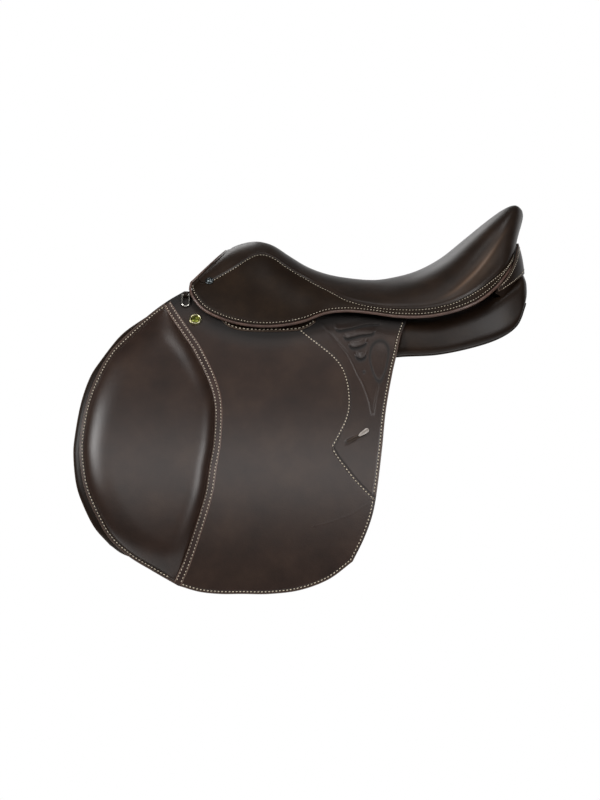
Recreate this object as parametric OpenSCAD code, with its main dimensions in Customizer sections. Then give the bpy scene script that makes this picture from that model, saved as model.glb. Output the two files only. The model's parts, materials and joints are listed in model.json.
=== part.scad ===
// Close-contact jumping saddle with forward flaps.
// +X runs to the cantle, -Y is the near side, +Z is up.
// The origin lies on the line of the horse's back, under the deepest point of the seat.

/* [Seat] */
// Seat size, from the pommel nail to the middle of the cantle
seat_length = 445; // [420:5:470]
// Height of the pommel above the horse's back
pommel_h = 154; // [148:1:162]
// Height of the deepest point of the seat
dip_h = 101; // [97:1:106]
// Height of the cantle
cantle_h = 205; // [196:1:214]
// Half width of the seat at its widest edge
seat_half_w = 131; // [128:1:138]

/* [Leather] */
// Thickness of the seat leather
seat_t = 3.2; // [2.4:0.1:3.6]
// Thickness of the skirt leather
skirt_t = 4; // [3:0.1:4.4]
// Thickness of the flap's base leather
flap_t = 2.6; // [2:0.1:3.2]
// Thickness of the leather sewn over the flap
overlay_t = 1.6; // [1.2:0.1:2]
// Thickness of the sweat flap
sweat_t = 3; // [2.4:0.1:3.4]
// Diameter of the piping along the seat edge
piping_d = 4.6; // [4:0.1:5.4]

/* [Flap] */
// Reach of the flap in front of the deepest point of the seat
flap_forward = 394; // [380:1:410]
// Drop of the flap below the horse's back
flap_drop = 303; // [288:1:320]
// Half width across the flaps at their lower edge
flap_spread = 236; // [228:1:244]
// Half width across the flaps at the height of the horse's back
flap_back = 140; // [138:1:142]
// Height of the line where the flap folds when it is lifted
fold_z = 26; // [24:1:28]
// Space between the flap and the sweat flap
girth_gap = 14.5; // [14:0.5:18]
// Rise of the knee pad above the flap
pad_crown = 17; // [10:1:22]

/* [Tree and foam] */
// Foam thickness in the middle of the seat
foam_mid = 14; // [10:0.5:16]
// Foam thickness at the rails
foam_side = 7; // [6:0.5:8]
// Thickness of the laminated tree
tree_t = 10; // [8:0.5:12]
// Thickness of the steel head and cantle plates
plate_t = 3; // [2:0.5:4]
// Thickness of the webs
web_t = 1.8; // [1.4:0.1:2]

/* [Stirrup bar] */
// Diameter of the stirrup bar
bar_d = 10; // [8:0.5:11]
// Length of the stirrup bar's plate
bar_len = 80; // [70:1:86]
// Clear width between the bar and its plate
bar_slot = 6; // [5.5:0.5:7]
// Diameter of the catch's pin
catch_pin_d = 3.2; // [2.5:0.1:3.6]

/* [Girth straps] */
// Width of a girth billet
billet_w = 26; // [22:1:28]
// Thickness of a girth billet
billet_t = 4; // [3:0.1:4.2]
// Length of a girth billet below the tree
billet_len = 258; // [220:1:265]
// Diameter of a punched hole
hole_d = 6; // [5:0.1:7]
// Distance between punched holes
hole_pitch = 25; // [22:1:27]
// Number of punched holes in a billet
hole_n = 7; // [4:1:7]
// Height of the buckle guard
guard_h = 60; // [45:1:66]

/* [Small fittings] */
// Wire diameter of a dee ring
dee_wire = 2.8; // [2.4:0.1:3]
// Width of a dee ring between its legs, centre to centre
dee_w = 9.5; // [8.5:0.5:10.5]
// Length of a dee ring's straight legs
dee_len = 13; // [10:0.5:15]
// Diameter of the brass stud on the flap
stud_d = 17; // [14:0.5:18]
// Diameter of a pommel nail's head
nail_d = 11; // [9:0.5:13]

/* [Hidden] */
$fn = 40;

// Clearance between pieces that lie on each other
lay = 0.4;
// Scale of the seat's stations along X and Y
kx = seat_length / 445;
ky = seat_half_w / 131;

// Seat stations from the front arch to the back of the cantle.
// Centre line [x, share of the rise to the pommel or the cantle]
CENTRE = [[-209, 0.78], [-193, 0.92], [-176, 1], [-160, 1], [-142, 0.89], [-120, 0.62],
    [-95, 0.34], [-68, 0.155], [-38, 0.05], [-5, 0], [28, 0.04], [60, 0.13], [92, 0.295],
    [124, 0.54], [154, 0.775], [178, 0.94], [194, 1], [204, 0.95], [208, 0.86]];
// Piped lower edge [x, half width, z]
EDGE = [[-257, 80, 94], [-252, 95, 79], [-236, 107, 61], [-205, 118, 47], [-170, 125, 40],
    [-135, 127, 40], [-102, 125, 46], [-72, 122, 57], [-42, 120, 60], [-8, 122, 57],
    [28, 127, 52], [66, 131, 52], [102, 129, 59], [134, 119, 71], [158, 102, 87],
    [173, 85, 102], [183, 63, 117], [189, 36, 129], [190, 0, 135]];
// Angle that a rib turns through between the centre line and the edge
TURN = [70, 68, 66, 64, 63, 62, 62, 64, 66, 68, 70, 72, 75, 78, 80, 82, 84, 85, 86];
// Fullness of a rib's top, and how far its middle draws in before it flares to the edge
FULL = [1, 1, 1, 1, 1, 1, 1, 1, 1, 0.98, 0.95, 0.9, 0.86, 0.83, 0.82, 0.82, 0.82, 0.82, 0.82];
DRAW = [0, 0, 0, 0, 0, 0, 0, 0, 0, 0, 0.02, 0.05, 0.08, 0.1, 0.11, 0.11, 0.1, 0.08, 0.06];
// Place of the sewn seam on each rib
SEAM = [0.86, 0.84, 0.63, 0.4, 0.35, 0.39, 0.45, 0.6, 0.8, 0.87, 0.87, 0.88, 0.89, 0.88,
    0.88, 0.89, 0.9, 0.91, 0.92];
LAST = len(CENTRE) - 1;

// Smooth curve through the points p at station u
function spl(p, u) = let (n = len(p) - 1, i = min(max(floor(u), 0), n - 1), f = u - i,
    b = p[i], c = p[i + 1], a = i > 0 ? p[i - 1] : 2 * b - c,
    d = i < n - 1 ? p[i + 2] : 2 * c - b)
    b + 0.5 * f * ((c - a) + f * ((2 * a - 5 * b + 4 * c - d) + f * (3 * b - a - 3 * c + d)));
// The same curve in n equal steps from station u0 to u1
function run(p, n, u0 = 0, u1 = undef) = let (e = is_undef(u1) ? len(p) - 1 : u1)
    [for (i = [0:n]) spl(p, u0 + (e - u0) * i / n)];
function unit(v) = v / norm(v);
function steps(a, b, n) = [for (i = [0:n]) a + (b - a) * i / n];

// Seat surface at station s and share t of a rib, with t below 0 on the near side
function seat_p(s, t) = let (c = spl(CENTRE, s), e = spl(EDGE, s), g = spl(TURN, s), a = abs(t) * g,
    top = c[0] < 0 ? pommel_h : cantle_h, cz = dip_h + (top - dip_h) * c[1],
    k = (1 - cos(a)) / (1 - cos(g)))
    [kx * (c[0] + (e[0] - c[0]) * k),
     ky * e[1] * pow(sin(a) / sin(g), spl(FULL, s)) * (1 - 4 * spl(DRAW, s) * k * (1 - k)) * sign(t), cz + (e[2] - cz) * k];
function seat_n(s, t) = let (h = 0.05, s0 = max(s - h, 0), s1 = min(s + h, LAST))
    unit(cross(seat_p(s1, t) - seat_p(s0, t), seat_p(s, t + 0.02) - seat_p(s, t - 0.02)));
// Point at depth d under the seat surface
function seat_q(s, t, d) = seat_p(s, t) - d * seat_n(s, t);
function foam_d(t) = foam_side + (foam_mid - foam_side) * max(0, 1 - pow(t / 0.65, 2));
// Depths of the layers: foam, web, tree, plates
function d_foam(t) = seat_t + 3 * lay;
function d_web(t) = d_foam(t) + foam_d(t) + lay;
function d_tree(t) = d_web(t) + web_t + 7 * lay;
function d_plate(t) = d_tree(t) + tree_t + 2.5 * lay;

// Height of the skirt's fold, a straight line from the front corner to the waist
fold_a = [-254, 87];
fold_b = [-46, 60];
fold_m = (fold_b[1] - fold_a[1]) / (fold_b[0] - fold_a[0]);
// Share of the rib at which the skirt's fold crosses it
function fold_t(s) = let (c = spl(CENTRE, s), e = spl(EDGE, s), g = spl(TURN, s),
    cz = dip_h + ((c[0] < 0 ? pommel_h : cantle_h) - dip_h) * c[1],
    k = (fold_a[1] + fold_m * (c[0] - fold_a[0]) - cz) / (e[2] - cz - fold_m * (e[0] - c[0])))
    acos(max(-1, 1 - k * (1 - cos(g)))) / g;
// Stations between which the skirt is free
skirt_s0 = 0.95;
skirt_s1 = 7.55;

// Half width of the flap's outer face at height z
flap_k = (flap_spread - flap_back) / (flap_drop * flap_drop);
function flap_f(z) = flap_spread - flap_k * (z + flap_drop) * (z + flap_drop);
function flap_df(z) = -2 * flap_k * (z + flap_drop);
// Flap point, from its place on the drawn outline
fx = flap_forward / 394;
fz = (flap_drop + fold_z) / 329;
function fp(p) = [p[0] * (p[0] < 0 ? fx : 1), p[1] > 26 ? p[1] + fold_z - 26 : fold_z + (p[1] - 26) * fz];
function fps(l) = [for (p = l) fp(p)];
// Point on the near flap, o outside its outer face
function on_flap(p, o) = [p[0], -(flap_f(p[1]) + o), p[1]];

// Outlines on the flap, as seen from the near side [x, z]
FRONT = fps([[-340, 26], [-360, 5], [-377, -28], [-388, -62], [-394, -106], [-392, -138], [-385, -170],
    [-371, -201], [-353, -231], [-328, -254], [-297, -273], [-264, -292]]);
BOTTOM = fps([[-264, -292], [-237, -300], [-210, -303], [-180, -303], [-145, -303], [-106, -298],
    [-69, -284], [-38, -261]]);
REAR = fps([[29, 26], [23, 3], [16, -24], [7, -69], [1, -119], [-6, -170], [-12, -201], [-23, -231], [-38, -261]]);
// Line of the double-stitched strip
STRIP = fps([[-252, 26], [-246, 17], [-229, -20], [-219, -62], [-216, -94], [-219, -126], [-227, -170],
    [-235, -208], [-248, -246], [-264, -292]]);
// Rear edge of the centre panel, down to its corner and from there to the flap's rear edge
CURVE_A = fps([[-89, 26], [-79, 19], [-60, 2], [-47, -17], [-40, -37], [-39, -62], [-43, -81], [-54, -100], [-63, -115]]);
CURVE_B = fps([[-63, -115], [-58, -126], [-41, -151], [-22, -170], [-8, -178]]);
SWEAT_FRONT = fps([[-297, 62], [-323, 46], [-349, 26], [-374, -7], [-387, -29], [-397, -62], [-403, -103], [-404, -129],
    [-398, -166], [-387, -192], [-373, -218], [-352, -238]]);
SWEAT_BOTTOM = fps([[-352, -238], [-300, -256], [-240, -266], [-160, -268], [-90, -258], [-50, -230]]);
SWEAT_REAR = fps([[-10, 40], [-14, 0], [-20, -60], [-28, -120], [-38, -180], [-50, -230]]);
SWEAT_TOP = fps([[-297, 62], [-200, 48], [-100, 44], [-10, 40]]);
HEAD_TOP = fps([[-264, 86], [-251, 84], [-236, 74], [-222, 60], [-200, 56], [-100, 56], [-20, 52], [36, 43]]);
HEAD_FRONT = fps([[-264, 86], [-286, 73], [-311, 54], [-340, 27]]);

// Depth of the layers behind the flap's outer face
o_over = overlay_t;
o_base = overlay_t + lay;
o_back = overlay_t + lay + flap_t;
o_sweat = o_back + girth_gap;
o_billet = o_sweat - 3;
o_guard = o_billet - billet_t - 2.2;

// Closed solid between two grids of points, with a on the side of du x dv
module grid_solid(a, b) {
    n = len(a) - 1;
    m = len(a[0]) - 1;
    w = m + 1;
    h = (n + 1) * w;
    pts = concat([for (r = a) each r], [for (r = b) each r]);
    quads = concat(
        [for (i = [0:n - 1], j = [0:m - 1]) [i * w + j, i * w + j + 1, (i + 1) * w + j + 1, (i + 1) * w + j]],
        [for (i = [0:n - 1], j = [0:m - 1]) [h + i * w + j, h + (i + 1) * w + j, h + (i + 1) * w + j + 1, h + i * w + j + 1]],
        [for (j = [0:m - 1]) [j, h + j, h + j + 1, j + 1]],
        [for (j = [0:m - 1]) [n * w + j, n * w + j + 1, h + n * w + j + 1, h + n * w + j]],
        [for (i = [0:n - 1]) [i * w, (i + 1) * w, h + (i + 1) * w, h + i * w]],
        [for (i = [0:n - 1]) [i * w + m, h + i * w + m, h + (i + 1) * w + m, (i + 1) * w + m]]);
    polyhedron(pts, [for (q = quads) each [[q[0], q[1], q[2]], [q[0], q[2], q[3]]]], 10);
}

// Closed solid through rings of points, with the rings joined end to end or capped
module ring_solid(r, loop = false) {
    n = len(r);
    m = len(r[0]);
    last = loop ? n - 1 : n - 2;
    side = [for (i = [0:last], j = [0:m - 1])
        [i * m + j, i * m + (j + 1) % m, ((i + 1) % n) * m + (j + 1) % m, ((i + 1) % n) * m + j]];
    polyhedron([for (q = r) each q],
        concat([for (q = side) each [[q[0], q[1], q[2]], [q[0], q[2], q[3]]]],
            loop ? [] : [for (j = [1:m - 2]) [0, j + 1, j]],
            loop ? [] : [for (j = [1:m - 2]) [(n - 1) * m, (n - 1) * m + j, (n - 1) * m + j + 1]]), 10);
}

// Round cord along a path
module cord(path, r, sides = 8) {
    n = len(path) - 1;
    ring_solid([for (i = [0:n]) let (d = unit(path[min(i + 1, n)] - path[max(i - 1, 0)]),
        a = unit(cross(d, [0.1, 0.2, 1])), b = cross(d, a))
        [for (j = [0:sides - 1]) path[i] + r * (cos(360 * j / sides) * a - sin(360 * j / sides) * b)]]);
}

// Piece of the seat's layers between two depths, given as functions of t
module seat_layer(ss, ts, d0, d1)
    grid_solid([for (s = ss) [for (t = ts) seat_q(s, t, d0(t))]], [for (s = ss) [for (t = ts) seat_q(s, t, d1(t))]]);

// Blend of four edge curves, each with the same number of points as its opposite
function coons(top, bottom, left, right) = let (n = len(top) - 1, m = len(left) - 1)
    [for (i = [0:n]) [for (j = [0:m]) let (u = i / n, v = j / m)
        (1 - v) * top[i] + v * bottom[i] + (1 - u) * left[j] + u * right[j]
        - (1 - u) * (1 - v) * top[0] - u * (1 - v) * top[n] - (1 - u) * v * bottom[0] - u * v * bottom[n]]];

// Sheet on the near flap between the offsets o0 (inner) and o1 (outer)
module flap_sheet(g, o0, o1)
    grid_solid([for (r = g) [for (p = r) on_flap(p, o0)]], [for (r = g) [for (p = r) on_flap(p, o1)]]);

// Strip of half width w along a line on the near flap
function side_line(l, w) = let (n = len(l) - 1) [for (i = [0:n]) let (d = unit(l[min(i + 1, n)] - l[max(i - 1, 0)]))
    l[i] + w * [d[1], -d[0]]];
module flap_strip_shape(l, w, o0, o1)
    flap_sheet([side_line(l, w), side_line(l, -w)], o0, o1);

module off_side() mirror([0, 1, 0]) children();
module both() { children(); off_side() children(); }
// Places children with +Z along the seat's or the flap's outward normal
module at_seat(s, t, d) { n = seat_n(s, t); translate(seat_q(s, t, d)) rotate([0, acos(n[2]), atan2(n[1], n[0])]) children(); }
module at_flap(p, o) translate(on_flap(p, o)) rotate([atan2(1, -flap_df(p[1])), 0, 0]) children();

leather = "#4a3d35";
leather_dark = "#33271f";
piping = "#5a4540";
wood = "#b58d5c";
steel = "#b9babb";
brass = "#b08a45";
web = "#d8cfb8";
foam = "#e6dfc9";

// Tree: one laminated ring of head, rails and cantle
function loop_at(a, s0, s1, t) = let (n = 0.5, c = cos(a), d = sin(a))
    [(s0 + s1) / 2 - (s1 - s0) / 2 * sign(c) * pow(abs(c), n), t * sign(d) * pow(abs(d), n)];
module tree() color(wood) {
    across = [0, 0.35, 0.7, 1];
    ring_solid([for (i = [0:59]) let (a = 6 * i, o = loop_at(a, 0.7, 14.2, 0.64), q = loop_at(a, 3.4, 12.2, 0.3))
        concat([for (b = across) let (p = o + (q - o) * b) seat_q(p[0], p[1], d_tree(p[1]) + tree_t)],
            [for (k = [3:-1:0]) let (p = o + (q - o) * across[k]) seat_q(p[0], p[1], d_tree(p[1]))])], true);
}
module head_plate() color(steel)
    seat_layer([1, 1.7, 2.4], steps(-0.95, 0.95, 16), function(t) d_plate(t), function(t) d_plate(t) + plate_t);
module cantle_plate() color(steel)
    seat_layer([12.6, 13.2, 13.8], steps(-0.6, 0.6, 10), function(t) d_plate(t), function(t) d_plate(t) + plate_t);
module tree_springs() color(steel) for (t0 = [-0.5, 0.5])
    seat_layer(steps(2.8, 12.2, 14), [t0 - 0.05, t0 + 0.05], function(t) d_plate(t), function(t) d_plate(t) + 1.6);
module rivet(len, r = 2.4) { translate([0, 0, -len]) cylinder(r = r, h = len); cylinder(r1 = r * 1.7, r2 = r, h = 1.2); }
module tree_rivets() color(steel) {
    for (t = [-0.5, -0.17, 0.17, 0.5]) at_seat(1.7, t, d_tree(t)) rivet(tree_t + plate_t + 2.5 * lay);
    for (t = [-0.4, 0, 0.4]) at_seat(13.2, t, d_tree(t)) rivet(tree_t + plate_t + 2.5 * lay);
}
// Leather that lines the channel under the tree
module channel_lining() color(leather_dark)
    seat_layer(steps(0.3, 13.9, 20), steps(-0.34, 0.34, 4), function(t) d_plate(t) + plate_t + 2 * lay, function(t) d_plate(t) + plate_t + 2 * lay + 1.6);
module seat_webs() color(web) for (t0 = [-0.11, 0.11])
    seat_layer(steps(2.7, 12.7, 16), [t0 - 0.07, t0, t0 + 0.07], function(t) d_tree(t) - lay - web_t, function(t) d_tree(t) - lay);

// Girth billets hang from webs laid over the tree
billet_s = [5.75, 7.05, 8.25];
billet_top = 42;
function billet_x(k) = seat_p(billet_s[k], 0.8)[0];
module girth_web(k) {
    zs = billet_top + 2 * lay;
    ye = flap_f(zs) - o_billet + billet_t / 2;
    // One row of points across the saddle at depth d in the web, from billet to billet
    function row(i, d) = let (x = billet_x(k) + (i - 1) * billet_w / 2, s = billet_s[k] + 0.42 * (i - 1),
        drop = [[x, d - ye, zs], [x, d + 4 - ye, zs + 9]])
        concat(drop, [for (t = steps(-0.73, 0.73, 12)) seat_q(s, t, d_web(t) + d)],
            [[x, ye - 4 - d, zs + 9], [x, ye - d, zs]]);
    grid_solid([for (i = [0:2]) row(i, 0)], [for (i = [0:2]) row(i, web_t)]);
}
module girth_webs() color(web) for (k = [0:2]) girth_web(k);

module seat_foam() color(foam)
    seat_layer(steps(1.2, 14.3, 16), steps(-0.6, 0.6, 8), function(t) d_foam(t), function(t) d_foam(t) + foam_d(t) * 0.97);
module cantle_roll() color(foam)
    cord([for (t = steps(-0.88, 0.88, 18)) seat_q(16.2, t, 10.5)], 5.6, 8);

// Seat leather
module seat_cover() color(leather)
    grid_solid([for (s = steps(0, LAST - 0.02, 30)) let (w = spl(SEAM, s) - 0.004) [for (j = steps(-1, 1, 12)) seat_p(s, w * j)]],
        [for (s = steps(0, LAST - 0.02, 30)) let (w = spl(SEAM, s) - 0.004) [for (j = steps(-1, 1, 12)) seat_q(s, w * j, seat_t)]]);
// Share of a rib at which the leather ends, above the piping
function edge_t(s) = let (d = seat_p(s, -1) - seat_p(s, -0.9),
    e = unit(seat_p(min(s + 0.05, LAST), -1) - seat_p(max(s - 0.05, 0), -1)))
    1 - 0.1 * (piping_d / 2 + 2 * lay) / norm(d - (d * e) * e);
function side_rows(ss) = [for (s = ss) let (a = spl(SEAM, s) + 0.004, c = edge_t(s),
    b = s > skirt_s0 && s < skirt_s1 + 0.2 ? min(c, fold_t(s) - 0.006) : c) steps(-b, -a, 3)];
rear_ss = steps(7.85, LAST - 0.1, 22);
module seat_side() {
    ss = concat(steps(0, 0.94, 2), steps(0.96, 7.74, 14), [7.76], rear_ss);
    r = side_rows(ss);
    grid_solid([for (i = [0:len(ss) - 1]) [for (t = r[i]) seat_p(ss[i], t)]],
        [for (i = [0:len(ss) - 1]) [for (t = r[i]) seat_q(ss[i], t, seat_t)]]);
}
module skirt() {
    ss = steps(skirt_s0 + 0.03, skirt_s1, 16);
    grid_solid([for (s = ss) [for (t = steps(-edge_t(s), -fold_t(s) - 0.006, 3)) seat_p(s, t)]],
        [for (s = ss) [for (t = steps(-edge_t(s), -fold_t(s) - 0.006, 3)) seat_q(s, t, skirt_t)]]);
}
// Piping, sewn on below the leather
module seat_piping() cord([for (s = rear_ss) seat_q(s, -1, seat_t / 2)], piping_d / 2);
module skirt_piping() cord([for (s = steps(skirt_s0 + 0.1, skirt_s1 - 0.05, 18)) seat_q(s, -1, skirt_t / 2)], piping_d / 2);

module seat_side_left() color(leather) seat_side();
module seat_side_right() color(leather) off_side() seat_side();
module skirt_left() color(leather) skirt();
module skirt_right() color(leather) off_side() skirt();
module seat_piping_left() color(piping) seat_piping();
module seat_piping_right() color(piping) off_side() seat_piping();
module skirt_piping_left() color(piping) skirt_piping();
module skirt_piping_right() color(piping) off_side() skirt_piping();

// Leather band that closes the front arch
module pommel_facing() color(leather_dark) {
    ts = steps(-0.98, 0.98, 16);
    ds = [0.5, 12, 24, 36];
    fw = function(t) unit(seat_p(0, t) - seat_p(0.3, t));
    grid_solid([for (t = ts) [for (d = ds) seat_q(0, t, d) + fw(t) * (lay + 2.6)]],
        [for (t = ts) [for (d = ds) seat_q(0, t, d) + fw(t) * lay]]);
}
// Leather lip that joins the panels behind the cantle
LIP_TOP = [[198.5, 0, 152], [198, 20, 151], [194, 42, 141], [187, 64, 123], [176, 84, 105]];
LIP_LOW = [[205, 0, 121], [204.5, 20, 119], [201, 42, 112.5], [193, 64, 100.5], [182, 84, 91]];
module rear_facing() color(leather_dark) {
    u = steps(-4, 4, 16);
    lip = function(l, v) let (p = spl(l, abs(v))) [p[0] * kx, -ky * p[1] * sign(v), p[2]];
    row = function(v, o) [for (k = [0, 0.33, 0.67, 1]) lip(LIP_LOW, v) * (1 - k) + lip(LIP_TOP, v) * k + [o, 0, 0]];
    grid_solid([for (v = u) row(v, -2.4)], [for (v = u) row(v, 0)]);
}
module dome(d, h) rotate_extrude() difference() {
    translate([0, h - d * d / 8 / h - h / 2]) circle(r = d * d / 8 / h + h / 2, $fn = 64);
    translate([-d, -3 * d]) square([2 * d, 3 * d]);
    translate([-d, -d]) square([d, 3 * d]);
}
module pommel_nails() color(brass) for (t = [-0.8, 0.8]) at_seat(1.27, t, 0) {
    translate([0, 0, lay]) dome(nail_d, 3.4);
    translate([0, 0, -8]) cylinder(d = 2.4, h = 9);
}

// Dee ring in a leather chape, hanging on the flap's head under the skirt's front corner
dee_at = fp([-261, 81]);
dee_lift = 4.2;
dee_n = unit([0, -1, -flap_df(dee_at[1])]);
dee_v = unit(unit([0, flap_df(dee_at[1]), -1]) - 0.1 * dee_n);
// Local axes: +X along the hanging ring, +Y along its bar
module at_dee() let (o = on_flap(dee_at, dee_lift), n = cross(dee_v, [1, 0, 0]))
    multmatrix([for (i = [0:2]) [dee_v[i], i == 0 ? 1 : 0, n[i], o[i]]]) children();
module dee() at_dee() {
    rotate([90, 0, 0]) cylinder(d = dee_wire, h = dee_w, center = true);
    for (y = [-1, 1]) translate([0, y * dee_w / 2, 0]) { sphere(d = dee_wire); rotate([0, 90, 0]) cylinder(d = dee_wire, h = dee_len); }
    translate([dee_len, 0, 0]) rotate([0, 0, -90]) rotate_extrude(angle = 180) translate([dee_w / 2, 0]) circle(d = dee_wire);
}
module dee_chape() at_dee() let (w = dee_w - dee_wire - 1) difference() {
    union() {
        rotate([90, 0, 0]) cylinder(r = dee_wire / 2 + 1.7, h = w, center = true);
        translate([-7, -w / 2, -dee_wire / 2 - 1.7]) cube([7, w, 1.5]);
    }
    rotate([90, 0, 0]) cylinder(r = dee_wire / 2 + 0.3, h = dee_w, center = true);
}
module dee_left() color(steel) dee();
module dee_right() color(steel) off_side() dee();
module dee_chape_left() color(leather_dark) dee_chape();
module dee_chape_right() color(leather_dark) off_side() dee_chape();

// Stirrup bar: a plate on the tree's side and a bar open to the rear
bar_x = -208 * kx;
bar_y = -86 * ky;
bar_z = 69;
module stirrup_bar() {
    y = bar_y - bar_slot - bar_d / 2;
    translate([bar_x, bar_y, bar_z - 6]) cube([bar_len, 4, 30]);
    translate([bar_x + bar_d / 2, y, bar_z]) {
        rotate([-90, 0, 0]) cylinder(d = bar_d, h = bar_slot + bar_d / 2 + 1);
        sphere(d = bar_d);
        rotate([0, 90, 0]) cylinder(d = bar_d, h = bar_len - bar_d - 4);
    }
    difference() {
        translate([bar_x + bar_len - 10, y - bar_d / 2, bar_z - 4]) cube([12, bar_d, 8]);
        translate([bar_x + bar_len - 6, y - 2.4, bar_z - 5]) cube([12, 4.8, 10]);
        translate([bar_x + bar_len - 1, y, bar_z]) rotate([90, 0, 0]) cylinder(d = catch_pin_d + 0.4, h = bar_d + 4, center = true);
    }
}
module bar_catch() translate([bar_x + bar_len - 1, bar_y - bar_slot - bar_d / 2, bar_z]) {
    rotate([90, 0, 0]) cylinder(d = catch_pin_d, h = bar_d - 0.4, center = true);
    rotate([90, 0, 0]) cylinder(r = 3.4, h = 4, center = true);
    translate([0, -2, -3.4]) cube([11, 4, 4]);
    translate([11, 0, -1.4]) rotate([90, 0, 0]) cylinder(r = 2, h = 4, center = true);
}
module bar_rivets() color(steel) both() for (x = [16, bar_len - 16])
    translate([bar_x + x, bar_y, bar_z + 21]) rotate([90, 0, 0]) rivet(14);
module stirrup_bar_left() color(steel) stirrup_bar();
module stirrup_bar_right() color(steel) off_side() stirrup_bar();
module bar_catch_left() color(steel) bar_catch();
module bar_catch_right() color(steel) off_side() bar_catch();

// Panel cushions: sections [x, inner top, outer top, outer bottom, inner bottom], each corner [half width, z]
PANEL = [[-259, [56, 52], [66, 46], [86, 26], [68, 36]], [-250, [45, 64], [70, 50], [104, 10], [58, 34]],
    [-225, [40, 68], [80, 47], [120, -9], [48, 29]], [-185, [38, 66], [88.2, 44], [130, -20], [44, 26]],
    [-120, [34, 60], [91.2, 40], [134, -28], [38, 14]], [-45, [32, 55], [93.5, 33], [126, -15], [34, 6]],
    [-5, [32, 54], [91, 38], [117, -9], [33, 4]], [30, [32, 55], [109.6, 44], [120, -4], [33, 5]], [80, [32, 60], [113, 44], [122, -1], [34, 9]],
    [130, [32, 73], [107, 60], [115, 9], [35, 18]], [165, [30, 94], [95, 80], [108, 20], [35, 34]],
    [188, [26, 110], [82, 92], [98, 36], [34, 50]], [199, [22, 116], [70, 100], [86, 60], [32, 70]],
    [206, [28, 106], [56, 98], [64, 82], [36, 86]]];
function panel_at(u) = [for (k = [0:4]) spl([for (p = PANEL) p[k]], u)];
module panel() ring_solid([for (u = steps(0, len(PANEL) - 1, 28)) let (p = panel_at(u))
    [for (j = [0:15]) let (a = 22.5 * j, c = cos(a), s = sin(a),
        m = 0.5 + 0.5 * sign(c) * pow(abs(c), 0.45), n = 0.5 + 0.5 * sign(s) * pow(abs(s), 0.45),
        q = (1 - m) * ((1 - n) * p[4] + n * p[1]) + m * ((1 - n) * p[3] + n * p[2]))
        [p[0] * (p[0] > 0 ? kx : 1), -q[0], q[1]]]]);
module panel_left() color(leather_dark) panel();
module panel_right() color(leather_dark) off_side() panel();

module sweat_flap() flap_sheet(coons(run(SWEAT_TOP, 9), run(SWEAT_BOTTOM, 9), run(SWEAT_FRONT, 14), run(SWEAT_REAR, 14)),
    -o_sweat - sweat_t, -o_sweat);
module sweat_flap_left() color(leather_dark) sweat_flap();
module sweat_flap_right() color(leather_dark) off_side() sweat_flap();

// Flap: fixed head above the fold, and the part that lifts
module flap_head() {
    top = run(HEAD_TOP, 20);
    low = steps(fp([-340, 26]) + [0, lay], fp([29, 26]) + [0, lay], 20);
    left = concat(run(HEAD_FRONT, 3, 0, 2.4), [low[0]]);
    flap_sheet(coons(top, low, left, steps(top[20], low[20], 4)), -o_back, -0.2);
}
module flap_base() flap_sheet(coons(steps(FRONT[0], REAR[0], 14), run(BOTTOM, 14), run(FRONT, 15), run(REAR, 15)), -o_back, -o_base);
// Puffed knee pad between the flap's front edge and the strip
module knee_pad() {
    left = side_line(run(FRONT, 18, 0.15, 10.6), -3);
    right = side_line(run(STRIP, 18, 0.4, 8.6), 5);
    g = [for (i = [0:10]) [for (j = [0:18]) left[j] + (right[j] - left[j]) * i / 10]];
    function puff(i, j) = 1.5 + pad_crown * pow(sin(18 * i), 0.6) * pow(sin(10 * j), 0.45) * min(1, norm(right[j] - left[j]) / 90);
    grid_solid([for (r = g) [for (p = r) on_flap(p, -o_over)]],
        [for (i = [0:10]) [for (j = [0:18]) on_flap(g[i][j], puff(i, j) - o_over)]]);
}
module flap_strip() flap_strip_shape(run(STRIP, 20, 0.5, 8.85), 4, -o_over, 0.3);
module flap_panel() {
    right = concat(run(CURVE_A, 10, 0.4), run(CURVE_B, 6, 0.7), run(REAR, 3, 5.6, 7.75));
    n = len(right) - 1;
    left = side_line(run(STRIP, n, 0.62, 8.78), -5);
    // The flap's own lower edge, drawn up a little and tied to both sides
    edge = [for (p = run(BOTTOM, 8, 0.3, 6.8)) p + [0, 2.5]];
    low = [for (i = [0:8]) edge[i] + (left[n] - edge[0]) * (1 - i / 8) + (right[n] - edge[8]) * i / 8];
    flap_sheet(coons(steps(left[0], right[0], 8), low, left, right), -o_over, 0);
}
module rear_panel() {
    left = concat(run(CURVE_A, 10, 1), run(CURVE_B, 4, 0.8, 3.6));
    n = len(left) - 1;
    l2 = [for (p = left) p + [1.5, 0]];
    right = [for (p = run(REAR, n, 0.15, 5.05)) p - [1.5, 0]];
    flap_sheet([for (k = steps(0, 1, 6)) [for (j = [0:n]) l2[j] + (right[j] - l2[j]) * k]], -o_over, -o_over + 0.8);
    // Grip ribs and the plain oval
    for (k = [0:3]) let (z = 10 - 12 * k, a = fp([-44 + 5 * k, z - 4]), b = fp([-6 - 3 * k, z + 3]))
        flap_strip_shape(steps(a, b, 3), 2.4, -o_over + 0.9, 0.2);
    flap_sheet([for (i = [0:6]) [for (j = [0:6]) let (u = -1 + i / 3, v = -1 + j / 3)
        fp([1, -6]) + [6.5 * u * sqrt(1 - v * v / 2), -24 * v * sqrt(1 - u * u / 2)]]], -o_over + 0.9, 0.4);
}
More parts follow.
